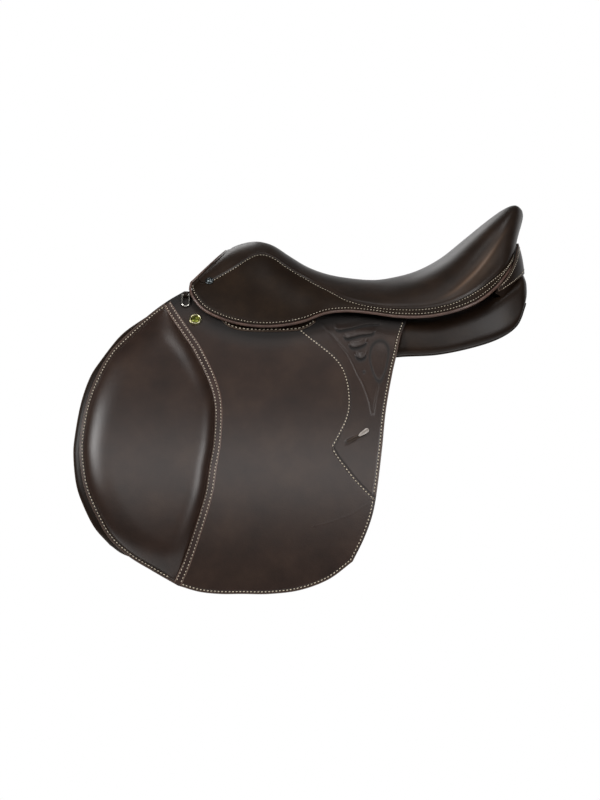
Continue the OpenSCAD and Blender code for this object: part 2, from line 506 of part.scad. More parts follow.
// Loop for the end of the stirrup leather
module keeper() {
    l = steps(fp([-48, -111]), fp([-16, -98]), 8);
    a = side_line(l, 5);
    b = side_line(l, -5);
    grid_solid([for (s = [a, b]) [for (i = [0:8]) on_flap(s[i], -0.4 + 5.5 * pow(sin(22.5 * i), 0.6))]],
        [for (s = [a, b]) [for (i = [0:8]) on_flap(s[i], 1.6 + 5.5 * pow(sin(22.5 * i), 0.6))]]);
}
module flap_head_left() color(leather) flap_head();
module flap_head_right() color(leather) off_side() flap_head();
module flap_left() color(leather) flap_base();
module flap_right() color(leather) off_side() flap_base();
module knee_pad_left() color(leather) knee_pad();
module knee_pad_right() color(leather) off_side() knee_pad();
module flap_strip_left() color(piping) flap_strip();
module flap_strip_right() color(piping) off_side() flap_strip();
module flap_panel_left() color(leather) flap_panel();
module flap_panel_right() color(leather) off_side() flap_panel();
module rear_panel_left() color(leather_dark) rear_panel();
module rear_panel_right() color(leather_dark) off_side() rear_panel();
module keeper_left() color(leather_dark) keeper();
module keeper_right() color(leather_dark) off_side() keeper();

module flap_studs() color(brass) both() at_flap(fp([-247, 48]), 0) {
    translate([0, 0, lay]) cylinder(d = stud_d, h = 1.6);
    translate([0, 0, lay + 1.6]) dome(stud_d - 4, 3);
    translate([0, 0, -6]) cylinder(d = 4, h = 7);
}
UNDER_LOW = [[-204, 46], [-194, 38], [-173, 33], [-140, 32], [-106, 33], [-90, 37], [-78, 44]];
module under_skirt() {
    low = run(UNDER_LOW, 12);
    flap_sheet([for (i = [0:12]) steps([low[i][0], 60], low[i], 2)], 0.8, 2.8);
}
module under_skirt_left() color(leather_dark) under_skirt();
module under_skirt_right() color(leather_dark) off_side() under_skirt();

// Girth billets with punched holes and a pointed end
module billet(k) {
    z1 = billet_top - billet_len;
    zs = steps(billet_top, z1, 14);
    x = billet_x(k);
    hw = billet_w / 2;
    difference() {
        intersection() {
            translate([x - hw, 0, 0]) rotate([90, 0, 90]) linear_extrude(billet_w)
                polygon(concat([for (z = zs) [-(flap_f(z) - o_billet), z]],
                    [for (i = [14:-1:0]) [-(flap_f(zs[i]) - o_billet + billet_t), zs[i]]]));
            translate([x, 0, 0]) rotate([90, 0, 0]) linear_extrude(400)
                polygon([[-hw, billet_top + 9], [hw, billet_top + 9], [hw, z1 + 14], [4, z1 + 1], [-4, z1 + 1], [-hw, z1 + 14]]);
        }
        for (i = [0:hole_n - 1]) let (z = z1 + 32 + hole_pitch * i)
            translate([x, -(flap_f(z) - o_billet), z]) rotate([atan2(1, -flap_df(z)), 0, 0]) cylinder(d = hole_d, h = 20, center = true);
    }
}
module billet_front_left() color(leather_dark) billet(0);
module billet_mid_left() color(leather_dark) billet(1);
module billet_rear_left() color(leather_dark) billet(2);
module billet_front_right() color(leather_dark) off_side() billet(0);
module billet_mid_right() color(leather_dark) off_side() billet(1);
module billet_rear_right() color(leather_dark) off_side() billet(2);

// Buckle guard: a plate over the three billets with a loop round the middle one
guard_top = -8;
module buckle_guard() {
    x0 = billet_x(0) - billet_w / 2 - 4;
    x1 = billet_x(2) + billet_w / 2 + 4;
    xm = billet_x(1);
    // Inner and outer faces of the plate, then of the loop behind the billet
    module slab(xa, xb, za, zb, oa, ob) let (zs = steps(za, zb, 6))
        translate([xa, 0, 0]) rotate([90, 0, 90]) linear_extrude(xb - xa)
            polygon(concat([for (z = zs) [-(flap_f(z) - oa), z]], [for (i = [6:-1:0]) [-(flap_f(zs[i]) - ob), zs[i]]]));
    z1 = guard_top - guard_h;
    slab(x0, x1, guard_top, z1, o_guard, o_guard - 2);
    slab(xm - billet_w / 2 - 3, xm + billet_w / 2 + 3, guard_top - 14, guard_top - 28, o_billet + 2, o_billet + 0.8);
    for (x = [xm - billet_w / 2 - 3, xm + billet_w / 2 + 1.4])
        slab(x, x + 1.6, guard_top - 14, guard_top - 28, o_billet + 2, o_guard - 1);
}
module buckle_guard_left() color(leather_dark) buckle_guard();
module buckle_guard_right() color(leather_dark) off_side() buckle_guard();

tree();
head_plate();
cantle_plate();
tree_springs();
tree_rivets();
channel_lining();
seat_webs();
girth_webs();
seat_foam();
cantle_roll();
seat_cover();
seat_side_left();
seat_side_right();
skirt_left();
skirt_right();
seat_piping_left();
seat_piping_right();
skirt_piping_left();
skirt_piping_right();
pommel_facing();
rear_facing();
pommel_nails();
dee_chape_left();
dee_chape_right();
dee_left();
dee_right();
stirrup_bar_left();
stirrup_bar_right();
bar_catch_left();
bar_catch_right();
bar_rivets();
panel_left();
panel_right();
sweat_flap_left();
sweat_flap_right();
flap_head_left();
flap_head_right();
flap_left();
flap_right();
knee_pad_left();
knee_pad_right();
flap_strip_left();
flap_strip_right();
flap_panel_left();
flap_panel_right();
rear_panel_left();
rear_panel_right();
keeper_left();
keeper_right();
flap_studs();
under_skirt_left();
under_skirt_right();
billet_front_left();
billet_mid_left();
billet_rear_left();
billet_front_right();
billet_mid_right();
billet_rear_right();
buckle_guard_left();
buckle_guard_right();
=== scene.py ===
"""Dresses the jumping saddle: leather, padding, piping, stitching and metal fittings."""
from __future__ import annotations

import json
import logging
import math
from dataclasses import dataclass, field
from enum import Enum
from functools import partial
from typing import Any, Callable, Sequence

import bmesh
import bpy
import numpy as np
from mathutils import Matrix, Vector

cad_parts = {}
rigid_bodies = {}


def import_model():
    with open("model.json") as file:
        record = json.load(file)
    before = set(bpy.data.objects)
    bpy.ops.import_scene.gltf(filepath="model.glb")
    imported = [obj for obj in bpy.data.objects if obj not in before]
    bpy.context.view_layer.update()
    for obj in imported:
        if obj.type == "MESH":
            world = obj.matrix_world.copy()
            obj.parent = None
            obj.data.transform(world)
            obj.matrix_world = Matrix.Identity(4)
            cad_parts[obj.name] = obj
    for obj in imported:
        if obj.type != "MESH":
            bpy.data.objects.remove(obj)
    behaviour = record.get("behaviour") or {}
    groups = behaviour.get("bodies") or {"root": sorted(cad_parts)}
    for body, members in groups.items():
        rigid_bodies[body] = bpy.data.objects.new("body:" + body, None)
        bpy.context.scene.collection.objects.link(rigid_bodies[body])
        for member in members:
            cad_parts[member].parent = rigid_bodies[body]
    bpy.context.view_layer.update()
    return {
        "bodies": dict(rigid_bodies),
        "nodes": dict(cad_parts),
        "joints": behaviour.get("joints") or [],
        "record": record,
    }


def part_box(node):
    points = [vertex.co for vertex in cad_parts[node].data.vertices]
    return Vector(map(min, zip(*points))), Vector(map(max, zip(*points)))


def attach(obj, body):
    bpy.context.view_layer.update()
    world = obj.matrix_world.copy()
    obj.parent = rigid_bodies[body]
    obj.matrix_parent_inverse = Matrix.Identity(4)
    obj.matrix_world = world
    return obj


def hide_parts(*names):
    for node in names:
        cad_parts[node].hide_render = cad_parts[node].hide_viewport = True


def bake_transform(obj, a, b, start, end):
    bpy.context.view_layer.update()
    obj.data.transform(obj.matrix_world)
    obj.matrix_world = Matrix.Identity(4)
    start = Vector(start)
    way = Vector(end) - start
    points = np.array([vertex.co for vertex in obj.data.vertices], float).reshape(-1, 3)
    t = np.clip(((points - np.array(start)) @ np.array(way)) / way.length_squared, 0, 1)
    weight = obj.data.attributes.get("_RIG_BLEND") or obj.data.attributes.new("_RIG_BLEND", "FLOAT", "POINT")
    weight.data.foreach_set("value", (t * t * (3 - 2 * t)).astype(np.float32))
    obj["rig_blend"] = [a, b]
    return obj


LOG = logging.getLogger("saddle")
MM = 0.001
# Millimetres from a sewn edge over which the finish knows its distance
INSET_REACH = 20.0
# Metres within which corners of one shape are joined
WELD = 1e-6
WHITE = (1, 1, 1, 1)

Points = np.ndarray
Table = Sequence[Sequence[float]]
# Dense path and outward directions of each row of stitches
Rows = Sequence[tuple[Points, Points]]
Piece = bpy.types.Object
Socket = bpy.types.NodeSocket

# Seat stations from the front arch to the back of the cantle, in millimetres, and one of the other half
# behind them. Centre line: x and share of the rise to the pommel or the cantle
SEAT_CENTRE = [(-209, 0.78), (-193, 0.92), (-176, 1), (-160, 1), (-142, 0.89), (-120, 0.62), (-95, 0.34),
               (-68, 0.155), (-38, 0.05), (-5, 0), (28, 0.04), (60, 0.13), (92, 0.295), (124, 0.54),
               (154, 0.775), (178, 0.94), (194, 1), (204, 0.95), (209, 0.86), (204, 0.95)]
# Piped edge: x, half width, z
SEAT_EDGE = [(-257, 80, 94), (-252, 95, 79), (-236, 107, 61), (-205, 118, 47), (-170, 125, 40),
             (-135, 127, 40), (-102, 125, 46), (-72, 122, 57), (-42, 120, 60), (-8, 122, 57), (28, 127, 52),
             (66, 131, 52), (102, 129, 59), (134, 119, 71), (158, 102, 87), (173, 85, 102), (183, 63, 117),
             (189, 36, 129), (190, 0, 135), (189, -36, 129)]
# Per station: angle a rib turns through, fullness, drawing in, and place of the seam
SEAT_RIB = [(70, 1, 0, 0.86), (68, 1, 0, 0.84), (66, 1, 0, 0.63), (64, 1, 0, 0.4), (63, 1, 0, 0.35),
            (62, 1, 0, 0.39), (62, 1, 0, 0.45), (64, 1, 0, 0.6), (66, 1, 0, 0.8), (68, 0.98, 0, 0.87),
            (70, 0.95, 0.02, 0.87), (72, 0.9, 0.05, 0.88), (75, 0.86, 0.08, 0.89), (78, 0.83, 0.1, 0.88),
            (80, 0.82, 0.11, 0.88), (82, 0.82, 0.11, 0.89), (84, 0.82, 0.1, 0.9), (85, 0.82, 0.08, 0.91),
            (86, 0.82, 0.06, 0.92), (85, 0.82, 0.08, 0.91)]

# Fold in the seat's flank: station, share of the rib and height of the soft ridge
SEAT_FOLD = [(10.5, 0.86, 0), (11.5, 0.835, 0.25), (12, 0.81, 0.75), (12.6, 0.765, 1.35),
             (13.2, 0.725, 1.65), (13.8, 0.68, 1.3), (14.4, 0.62, 0.6), (15.2, 0.55, 0.1), (16.2, 0.5, 0)]

# Lines on the flap as seen from the near side: x and z in millimetres
FLAP_TOP = [(-264, 86), (-251, 84), (-236, 74), (-222, 60), (-200, 57), (-100, 58), (-20, 58), (39, 51)]
FLAP_FRONT = [(-264, 86), (-286, 73), (-311, 54), (-340, 27), (-360, 5), (-377, -28), (-388, -62),
              (-394, -106), (-392, -138), (-385, -170), (-371, -201), (-353, -231), (-328, -254),
              (-297, -273), (-264, -292)]
FLAP_BOTTOM = [(-264, -292), (-237, -300), (-210, -303), (-180, -303), (-145, -303), (-106, -298),
               (-69, -284), (-38, -261)]
FLAP_REAR = [(39, 51), (29, 26), (23, 3), (16, -24), (7, -69), (1, -119), (-6, -170), (-12, -201),
             (-23, -231), (-38, -261)]
STRIP_LINE = [(-286, 70), (-281, 62), (-270.5, 47.5), (-256, 28), (-242, 8), (-222, -30.5), (-213.5, -62.5),
              (-214, -107), (-219, -140), (-226, -182), (-249, -254), (-264, -290)]
PANEL_UPPER = [(-124, 54), (-106, 37), (-91, 25), (-76.5, 14), (-60.5, 1), (-48.5, -14), (-42, -32),
               (-39.6, -50), (-40, -67.5), (-44.5, -83), (-52, -98), (-60.5, -113), (-62, -116.5)]
PANEL_LOWER = [(-62, -116.5), (-55, -128), (-43.5, -143), (-32, -157), (-17.5, -172), (-6, -183)]
SWEAT_FRONT = [(-297, 62), (-323, 46), (-349, 26), (-374, -7), (-387, -29), (-397, -62), (-403, -103),
               (-404, -129), (-399, -166), (-389, -193), (-374, -221), (-354, -243)]
SWEAT_BOTTOM = [(-354, -243), (-334, -256), (-300, -264), (-240, -268), (-160, -268), (-90, -258),
                (-50, -230)]
SWEAT_REAR = [(-10, 40), (-14, 0), (-20, -60), (-28, -120), (-38, -180), (-50, -230)]
SWEAT_TOP = [(-297, 62), (-200, 48), (-100, 44), (-10, 40)]
UNDER_LOW = [(-212, 48), (-202, 39.5), (-182, 34), (-147, 33), (-113, 34), (-97, 38), (-85, 45)]

# Lining of the front arch, from its front edge to the channel: a point of the other half, then downwards
ARCH_FRONT = [(-196, -16, 107), (-193, 0, 110), (-196, 16, 107), (-204, 31, 102), (-216, 41, 93),
              (-230, 49, 84), (-243, 54, 73), (-250, 57, 60)]
ARCH_BACK = [(-150, -14, 97), (-150, 0, 99), (-150, 14, 97), (-140, 27, 91), (-120, 36, 82), (-105, 43, 72),
             (-95, 46, 62), (-92, 48, 52)]

# Grip ribs pressed into the inlay: the line of the groove under each rib, along which shade is painted
GRIP_RIBS = [[(-59, 35), (-55, 33.2), (-50, 32.8), (-36.5, 35.5), (-18.5, 39.5), (3, 41)],
             [(-48, 25.5), (-43, 22), (-34, 23.8), (-23.5, 26.3), (-11, 27.8), (-5, 31.5)],
             [(-41, 13.5), (-35.5, 10), (-28, 10.8), (-21.5, 13.4), (-16, 17)],
             [(-32.5, -0.5), (-26.5, -4.6), (-20, -2.5), (-17, 1.5)]]
CREASE_LEFT = [(-76, 42), (-71.5, 37), (-57.5, 21), (-44, 5.5), (-36, -9), (-30.5, -21), (-24, -33),
               (-18.5, -46.5), (-14.5, -59), (-12, -73)]
CREASE_RIGHT = [(-2, -34), (-5, -46.5), (-7, -57.5), (-9.5, -73)]

# Lip behind the cantle and the sections of a panel cushion
LIP_TOP = [(198.5, 0, 152), (198, 20, 151), (194, 42, 141), (187, 64, 123), (176, 84, 105), (161, 97, 90)]
LIP_LOW = [(207, 0, 112), (206.5, 20, 111), (203, 42, 108.5), (193, 64, 102.5), (179.5, 84, 95),
           (163, 98.5, 86)]
# x, then half width and z of the inner top, outer top, outer bottom and inner bottom corners
PANEL_SECTIONS = [(-259, 56, 52, 66, 46, 86, 26, 68, 36), (-250, 45, 64, 70, 50, 104, 10, 58, 34),
                  (-225, 40, 68, 80, 47, 120, -9, 48, 29), (-185, 38, 66, 88.2, 44, 130, -20, 44, 26),
                  (-120, 34, 60, 91.2, 40, 134, -28, 38, 14), (-45, 32, 55, 93.5, 33, 126, -15, 34, 6),
                  (-5, 32, 54, 91, 38, 117, -9, 33, 4), (30, 32, 55, 109.6, 44, 120, -4, 33, 5),
                  (80, 32, 60, 113, 44, 122, -1, 34, 9), (130, 32, 73, 107, 60, 115, 9, 35, 18),
                  (165, 30, 94, 95, 80, 108, 20, 35, 34), (188, 26, 110, 82, 92, 98, 36, 34, 50),
                  (199, 22, 116, 70, 100, 86, 60, 32, 70), (206, 28, 106, 56, 98, 64, 82, 36, 86)]

# Turned metal: radius and height of the nail, and of the stud's dome and rim, from the crown to the foot
NAIL = [(0.0, 3.5), (1.8, 3.3), (3.4, 2.5), (4.4, 1.5), (4.7, 0.9), (5.1, 1.15), (5.5, 0.9), (5.5, -0.6)]
STUD_DOME = [(0.0, 2.4), (1.8, 2.25), (3.4, 1.8), (4.8, 1.0), (5.4, 0.4), (5.4, -0.6)]
STUD_RIM = [(5.3, 0.2), (5.6, 1.5), (6.3, 2.5), (7.2, 2.9), (8.0, 2.4), (8.5, 1.4), (8.5, -0.6)]
# Middle lines of the loop for the stirrup leather on the flap
LOOP_ROOT = [(-45.5, -109.5), (-38.5, -106.5), (-26, -99.5)]
LOOP_TAB = [(-29.5, -101.2), (-23.5, -97.3), (-16.2, -92.8)]


class Side(Enum):
    """The two sides of the saddle, as the rider sits. Shapes are made on the near side."""

    NEAR = "left"
    OFF = "right"

    @property
    def flip(self) -> Points:
        """Factors that bring a near-side point to this side."""
        return np.array([1, 1 if self is Side.NEAR else -1, 1])


class Slot(Enum):
    """Material slots of the record, which the dressing calls name but do not give to the pieces."""

    LEATHER = "leather"
    DARK = "dark_leather"
    PIPING = "piping_leather"
    BRASS = "brass"
    WEB = "web"


def linear(code: str) -> tuple[float, float, float, float]:
    """Turns an sRGB hex colour into linear values.

    Args:
        code: Colour as "#rrggbb".

    Returns:
        Linear red, green, blue and an alpha of 1.
    """
    parts = [int(code[i:i + 2], 16) / 255 for i in (1, 3, 5)]
    r, g, b = (c / 12.92 if c <= 0.04045 else ((c + 0.055) / 1.055) ** 2.4 for c in parts)
    return r, g, b, 1.0


def clamp(x: Any) -> Points:
    """Values held between 0 and 1."""
    return np.clip(x, 0, 1)


def ease(x: Points) -> Points:
    """Smooth step over shares from 0 to 1."""
    return x * x * (3 - 2 * x)


def bell(x: Points, width: float, power: int = 2) -> Points:
    """Bell of height 1 that falls to about a third at its width, flatter at the top with a higher power."""
    return np.exp(-(x / width) ** power)


def unit(v: Points) -> Points:
    """Directions with a length of 1."""
    return v / np.linalg.norm(v, axis=-1)[..., None]


def swell(distance: Points, width: float, fullness: float = 2.3) -> Points:
    """Rise of a stuffed edge from 0 to 1 over a width. A fullness of 2 gives a quarter of an ellipse."""
    return (1 - (1 - clamp(distance / width)) ** fullness) ** (1 / fullness)


def crowded(count: int, pull: float) -> Points:
    """Shares from 0 to 1 that crowd towards both ends, so that an edge can be rounded."""
    x = np.linspace(0, 1, count + 1)
    return (1 - pull) * x + pull * (1 - np.cos(np.pi * x)) / 2


def spline(points: Table, at: Any) -> Points:
    """Smooth curve through points.

    Args:
        points: Points that the curve passes, one per whole number.
        at: Places along the curve, as an array of any shape.

    Returns:
        Array of the places' shape with one more axis for the coordinates.
    """
    p, u = np.asarray(points, float), np.asarray(at, float)
    n = len(p) - 1
    i = np.clip(np.floor(u).astype(int), 0, n - 1)
    b, c = p[i], p[i + 1]
    a = np.where((i > 0)[..., None], p[np.maximum(i - 1, 0)], 2 * b - c)
    d = np.where((i < n - 1)[..., None], p[np.minimum(i + 2, n)], 2 * c - b)
    f = (u - i)[..., None]
    return b + 0.5 * f * ((c - a) + f * ((2 * a - 5 * b + 4 * c - d) + f * (3 * b - a - 3 * c + d)))


def along(line: Points, shares: Points, values: Points | None = None) -> Points:
    """Reads a dense line at shares of its length.

    Args:
        line: Points of the line.
        shares: Shares from 0 to 1.
        values: What is read at the line's points, or None for the points themselves.

    Returns:
        One row per share.
    """
    steps = np.r_[0, np.cumsum(np.linalg.norm(np.diff(line, axis=0), axis=1))]
    columns = (line if values is None else values).T
    return np.stack([np.interp(shares * steps[-1], steps, column) for column in columns], axis=-1)


def even(points: Table, count: int, start: float = 0.0, end: float | None = None) -> Points:
    """Smooth curve through points, in equal steps along its length.

    Args:
        points: Points that the curve passes.
        count: Number of steps.
        start: Place on the curve where the steps begin.
        end: Place where they end, or None for the last point.

    Returns:
        count + 1 points.
    """
    places = np.linspace(start, len(points) - 1 if end is None else end, 40 * len(points))
    return along(spline(points, places), np.linspace(0, 1, count + 1))


def beside(line: Points, offset: float) -> Points:
    """Line on the flap, given as x and z, moved by an offset to the left of the way it runs."""
    d = unit(np.gradient(line, axis=0))
    return line + offset * np.stack([-d[:, 1], d[:, 0]], axis=1)


def ruled(first: Points, second: Points, shares: Points) -> Points:
    """Net between two lines: its first axis runs along them, and its second over shares of the way across."""
    far = shares[None, :, None]
    return first[:, None] * (1 - far) + second[:, None] * far


def coons(top: Points, bottom: Points, left: Points, right: Points) -> Points:
    """Blends four edge lines into a net.

    Args:
        top: Upper edge from left to right.
        bottom: Lower edge from left to right, with as many points.
        left: Left edge from top to bottom.
        right: Right edge from top to bottom, with as many points.

    Returns:
        Net whose first axis runs from left to right and second from bottom to top.
    """
    u = np.linspace(0, 1, len(top))[:, None, None]
    v = np.linspace(0, 1, len(left))[None, :, None]
    net = ((1 - v) * top[:, None] + v * bottom[:, None] + (1 - u) * left[None] + u * right[None]
           - (1 - u) * (1 - v) * top[0] - u * (1 - v) * top[-1]
           - (1 - u) * v * bottom[0] - u * v * bottom[-1])
    return net[:, ::-1]


def near_line(points: Points, line: Points) -> Points:
    """Distance of each point from a line.

    Args:
        points: Array of points, with the coordinates on its last axis.
        line: The line's points.

    Returns:
        Distances in the points' shape, without the last axis.
    """
    flat = points.reshape(-1, points.shape[-1])
    best = np.full(len(flat), np.inf)
    for a, b in zip(line[:-1], line[1:]):
        d = b - a
        t = clamp((flat - a) @ d / max(float(d @ d), 1e-12))
        best = np.minimum(best, np.linalg.norm(flat - a - t[:, None] * d, axis=1))
    return best.reshape(points.shape[:-1])


@dataclass(frozen=True)
class SeatShape:
    """Surface of the seat, in stations along it and shares of a rib across it.

    Lengths are in millimetres, and the points come out in metres.
    """

    pommel: float = 154
    dip: float = 101
    cantle: float = 205
    piping: float = 4.6
    last: int = 18
    # Steps over which directions are measured, in stations and in shares of a rib
    step: float = 0.05
    step_across: float = 0.02

    def point(self, s: Any, t: Any) -> Points:
        """Point of the surface.

        Args:
            s: Station from 0 at the front arch to 18 at the back.
            t: Share of the rib, below 0 on the near side.

        Returns:
            Points in metres.
        """
        s, t = np.broadcast_arrays(np.asarray(s, float), np.asarray(t, float))
        c, e, r = spline(SEAT_CENTRE, s), spline(SEAT_EDGE, s), spline(SEAT_RIB, s)
        g = np.radians(r[..., 0])
        a = np.abs(t) * g
        top = np.where(c[..., 0] < 0, self.pommel, self.cantle)
        z = self.dip + (top - self.dip) * c[..., 1]
        k = (1 - np.cos(a)) / (1 - np.cos(g))
        y = e[..., 1] * (np.sin(a) / np.sin(g)) ** r[..., 1] * (1 - 4 * r[..., 2] * k * (1 - k)) * np.sign(t)
        return np.stack([c[..., 0] + (e[..., 0] - c[..., 0]) * k, y, z + (e[..., 2] - z) * k], axis=-1) * MM

    def backward(self, s: Any, t: Any) -> Points:
        """Step towards the cantle along a share of the ribs."""
        ahead, behind = np.maximum(s - self.step, 0), np.minimum(s + self.step, self.last)
        return self.point(behind, t) - self.point(ahead, t)

    def normal(self, s: Any, t: Any) -> Points:
        """Outward direction of the surface.

        Args:
            s: Stations.
            t: Shares of the rib, below 0 on the near side.

        Returns:
            Directions with a length of 1.
        """
        s, t = np.broadcast_arrays(np.asarray(s, float), np.asarray(t, float))
        back = self.backward(s, t)
        # All of the last rib lies in the middle plane, so its direction across is taken a little before it
        s = np.minimum(s, self.last - 0.03)
        return unit(np.cross(back, self.point(s, t + self.step_across) - self.point(s, t - self.step_across)))

    def under(self, s: Any, t: Any, depth: Any) -> Points:
        """Point at a depth in millimetres under the surface."""
        return self.point(s, t) - np.asarray(depth)[..., None] * MM * self.normal(s, t)

    def seam(self, s: Any) -> Points:
        """Share of a rib at which the seat panel is sewn to the sides."""
        return spline(SEAT_RIB, s)[..., 3]

    def rib_length(self, s: Any) -> Points:
        """Length of a rib as it runs near the edge, measured across the edge.

        Args:
            s: Stations.

        Returns:
            Millimetres per unit share.
        """
        s = np.asarray(s, float)
        d = (self.point(s, -1.0) - self.point(s, -0.9)) / MM * 10
        e = unit(self.backward(s, -1.0))
        return np.linalg.norm(d - (d * e).sum(-1)[..., None] * e, axis=-1)

    def drawn_up(self, s: Any) -> Points:
        """How far the covering pulls the piping up, most under the cantle.

        Args:
            s: Stations.

        Returns:
            Millimetres.
        """
        s = np.asarray(s, float)
        rear = clamp((s - 9) / 2.5) * clamp((16.5 - s) / 2)
        return clamp(s / 1.5) * clamp((17.5 - s) / 2) + 2 * ease(rear)

    def piped(self, s: Any) -> Points:
        """Share of a rib at which the piping runs."""
        return 1 - self.drawn_up(s) / self.rib_length(s)

    def trimmed(self, s: Any, gap: float) -> Points:
        """Share of a rib at which the leather ends, a gap in millimetres above the piping's seam."""
        return 1 - (self.piping / 2 + gap + self.drawn_up(s)) / self.rib_length(s)


@dataclass(frozen=True)
class FlapShape:
    """Outer face of the near flap, which stands out towards its lower edge. Lengths in millimetres."""

    spread: float = 236
    back: float = 140
    drop: float = 303

    def half_width(self, z: Any) -> Points:
        """Half width of the saddle over the flaps at height z."""
        return self.spread - (self.spread - self.back) / self.drop ** 2 * (np.asarray(z) + self.drop) ** 2

    def place(self, xz: Points, out: Any = 0.0) -> Points:
        """Point on the flap.

        Args:
            xz: Points as x and z in millimetres.
            out: Distance outside the outer face in millimetres.

        Returns:
            Points in metres.
        """
        x, z = xz[..., 0], xz[..., 1]
        return np.stack([x, -(self.half_width(z) + out), z], axis=-1) * MM

    def normal(self, z: Any) -> Points:
        """Outward direction of the near flap.

        Args:
            z: Heights in millimetres.

        Returns:
            Directions with a length of 1.
        """
        z = np.asarray(z, float)
        slope = -2 * (self.spread - self.back) / self.drop ** 2 * (z + self.drop)
        return unit(np.stack([np.zeros_like(z), -np.ones_like(z), -slope], axis=-1))


SEAT = SeatShape()
FLAP = FlapShape()
# Rough outward directions of leather on the near flap and on the seat's near side
FLAP_OUT = (0, -1, 0.3)
SIDE_OUT = (0, -1, 0.4)


@dataclass(frozen=True)
class Carrier:
    """How a piece follows the bodies of the frame. A body's name may hold {side}."""

    body: str
    bends_to: str = ""
    start: tuple[float, float, float] = (0.0, 0.0, 0.0)
    end: tuple[float, float, float] = (0.0, 0.0, 0.0)

    def take(self, piece: Piece, side: Side) -> None:
        """Makes a piece follow its body, or bend between its two bodies.

        Args:
            piece: The object.
            side: Side that the bodies' names take.
        """
        if self.bends_to:
            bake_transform(piece, self.body.format(side=side.value), self.bends_to.format(side=side.value),
                     start=self.start, end=self.end)
        else:
            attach(piece, self.body.format(side=side.value))


FIXED = Carrier("saddle")
ON_FLAP = Carrier("flap_{side}")
# The flap bends over 30 mm around the line on which it folds
FLAP_BEND = Carrier("saddle", "flap_{side}", (0.0, 0.0, 0.041), (0.0, 0.0, 0.011))
# The skirt bends along a straight line from under its front corner, which the nail holds, to the waist
SKIRT_BEND = Carrier("saddle", "skirt_{side}", (-0.14962, 0.0, 0.07388), (-0.15038, 0.0, 0.06492))


def link(name: str, data: Any) -> Piece:
    """Puts a mesh, a curve, a lamp or a camera into the scene.

    Args:
        name: Name of the object.
        data: What the object shows.

    Returns:
        The object.
    """
    piece = bpy.data.objects.new(name, data)
    bpy.context.scene.collection.objects.link(piece)
    return piece


def smooth(mesh: bpy.types.Mesh) -> bpy.types.Mesh:
    """Makes a mesh's faces smooth."""
    mesh.polygons.foreach_set("use_smooth", [True] * len(mesh.polygons))
    return mesh


def finished(name: str, bm: bmesh.types.BMesh) -> Piece:
    """Turns a bmesh into an object with smooth faces.

    Args:
        name: Name of the object.
        bm: The bmesh, which is freed.

    Returns:
        The object.
    """
    mesh = bpy.data.meshes.new(name)
    bm.to_mesh(mesh)
    bm.free()
    return link(name, smooth(mesh))


def evaluated(piece: Piece) -> bpy.types.Mesh:
    """Works out an object's mesh as its modifiers or its curve shape it.

    Args:
        piece: The object.

    Returns:
        New mesh with smooth faces.
    """
    graph = bpy.context.evaluated_depsgraph_get()
    graph.update()
    return smooth(bpy.data.meshes.new_from_object(piece.evaluated_get(graph)))


def settle(piece: Piece, sharp: float) -> Piece:
    """Bakes the modifiers of a piece into its mesh.

    Args:
        piece: The object.
        sharp: Angle in degrees above which an edge stays sharp.

    Returns:
        The same object.
    """
    mesh = evaluated(piece)
    piece.modifiers.clear()
    old, piece.data = piece.data, mesh
    bpy.data.meshes.remove(old)
    mesh.set_sharp_from_angle(angle=math.radians(sharp))
    return piece


def round_edges(piece: Piece, radius: float, segments: int, angle: float) -> None:
    """Bevels the edges of a piece.

    Args:
        piece: The object.
        radius: Width of the bevel in millimetres.
        segments: Number of its steps.
        angle: Angle in degrees above which an edge is bevelled.
    """
    edge = piece.modifiers.new("edge", "BEVEL")
    edge.width = radius * MM
    edge.segments = segments
    edge.profile = 0.5
    edge.limit_method = "ANGLE"
    edge.angle_limit = math.radians(angle)


def mirrored(piece: Piece, name: str) -> Piece:
    """Copies a near-side piece to the off side, with its faces turned outwards again.

    Args:
        piece: The near-side object.
        name: Name of the copy.

    Returns:
        The copy.
    """
    mesh = piece.data.copy()
    mesh.name = name
    mesh.transform(Matrix.Diagonal((1, -1, 1, 1)))
    mesh.flip_normals()
    return link(name, mesh)


def near_edge(distance: Points) -> Points:
    """Inset that the finish reads: 1 at a sewn edge, and 0 from its reach inwards."""
    return np.maximum(0, 1 - distance / INSET_REACH)


def grid_place(v: bmesh.types.BMVert, net: Points) -> tuple[int, int]:
    """Corner of a net to which a vertex of a fresh grid from -1 to 1 belongs."""
    n, m = net.shape[0] - 1, net.shape[1] - 1
    return round((v.co.x + 1) / 2 * n), round((v.co.y + 1) / 2 * m)


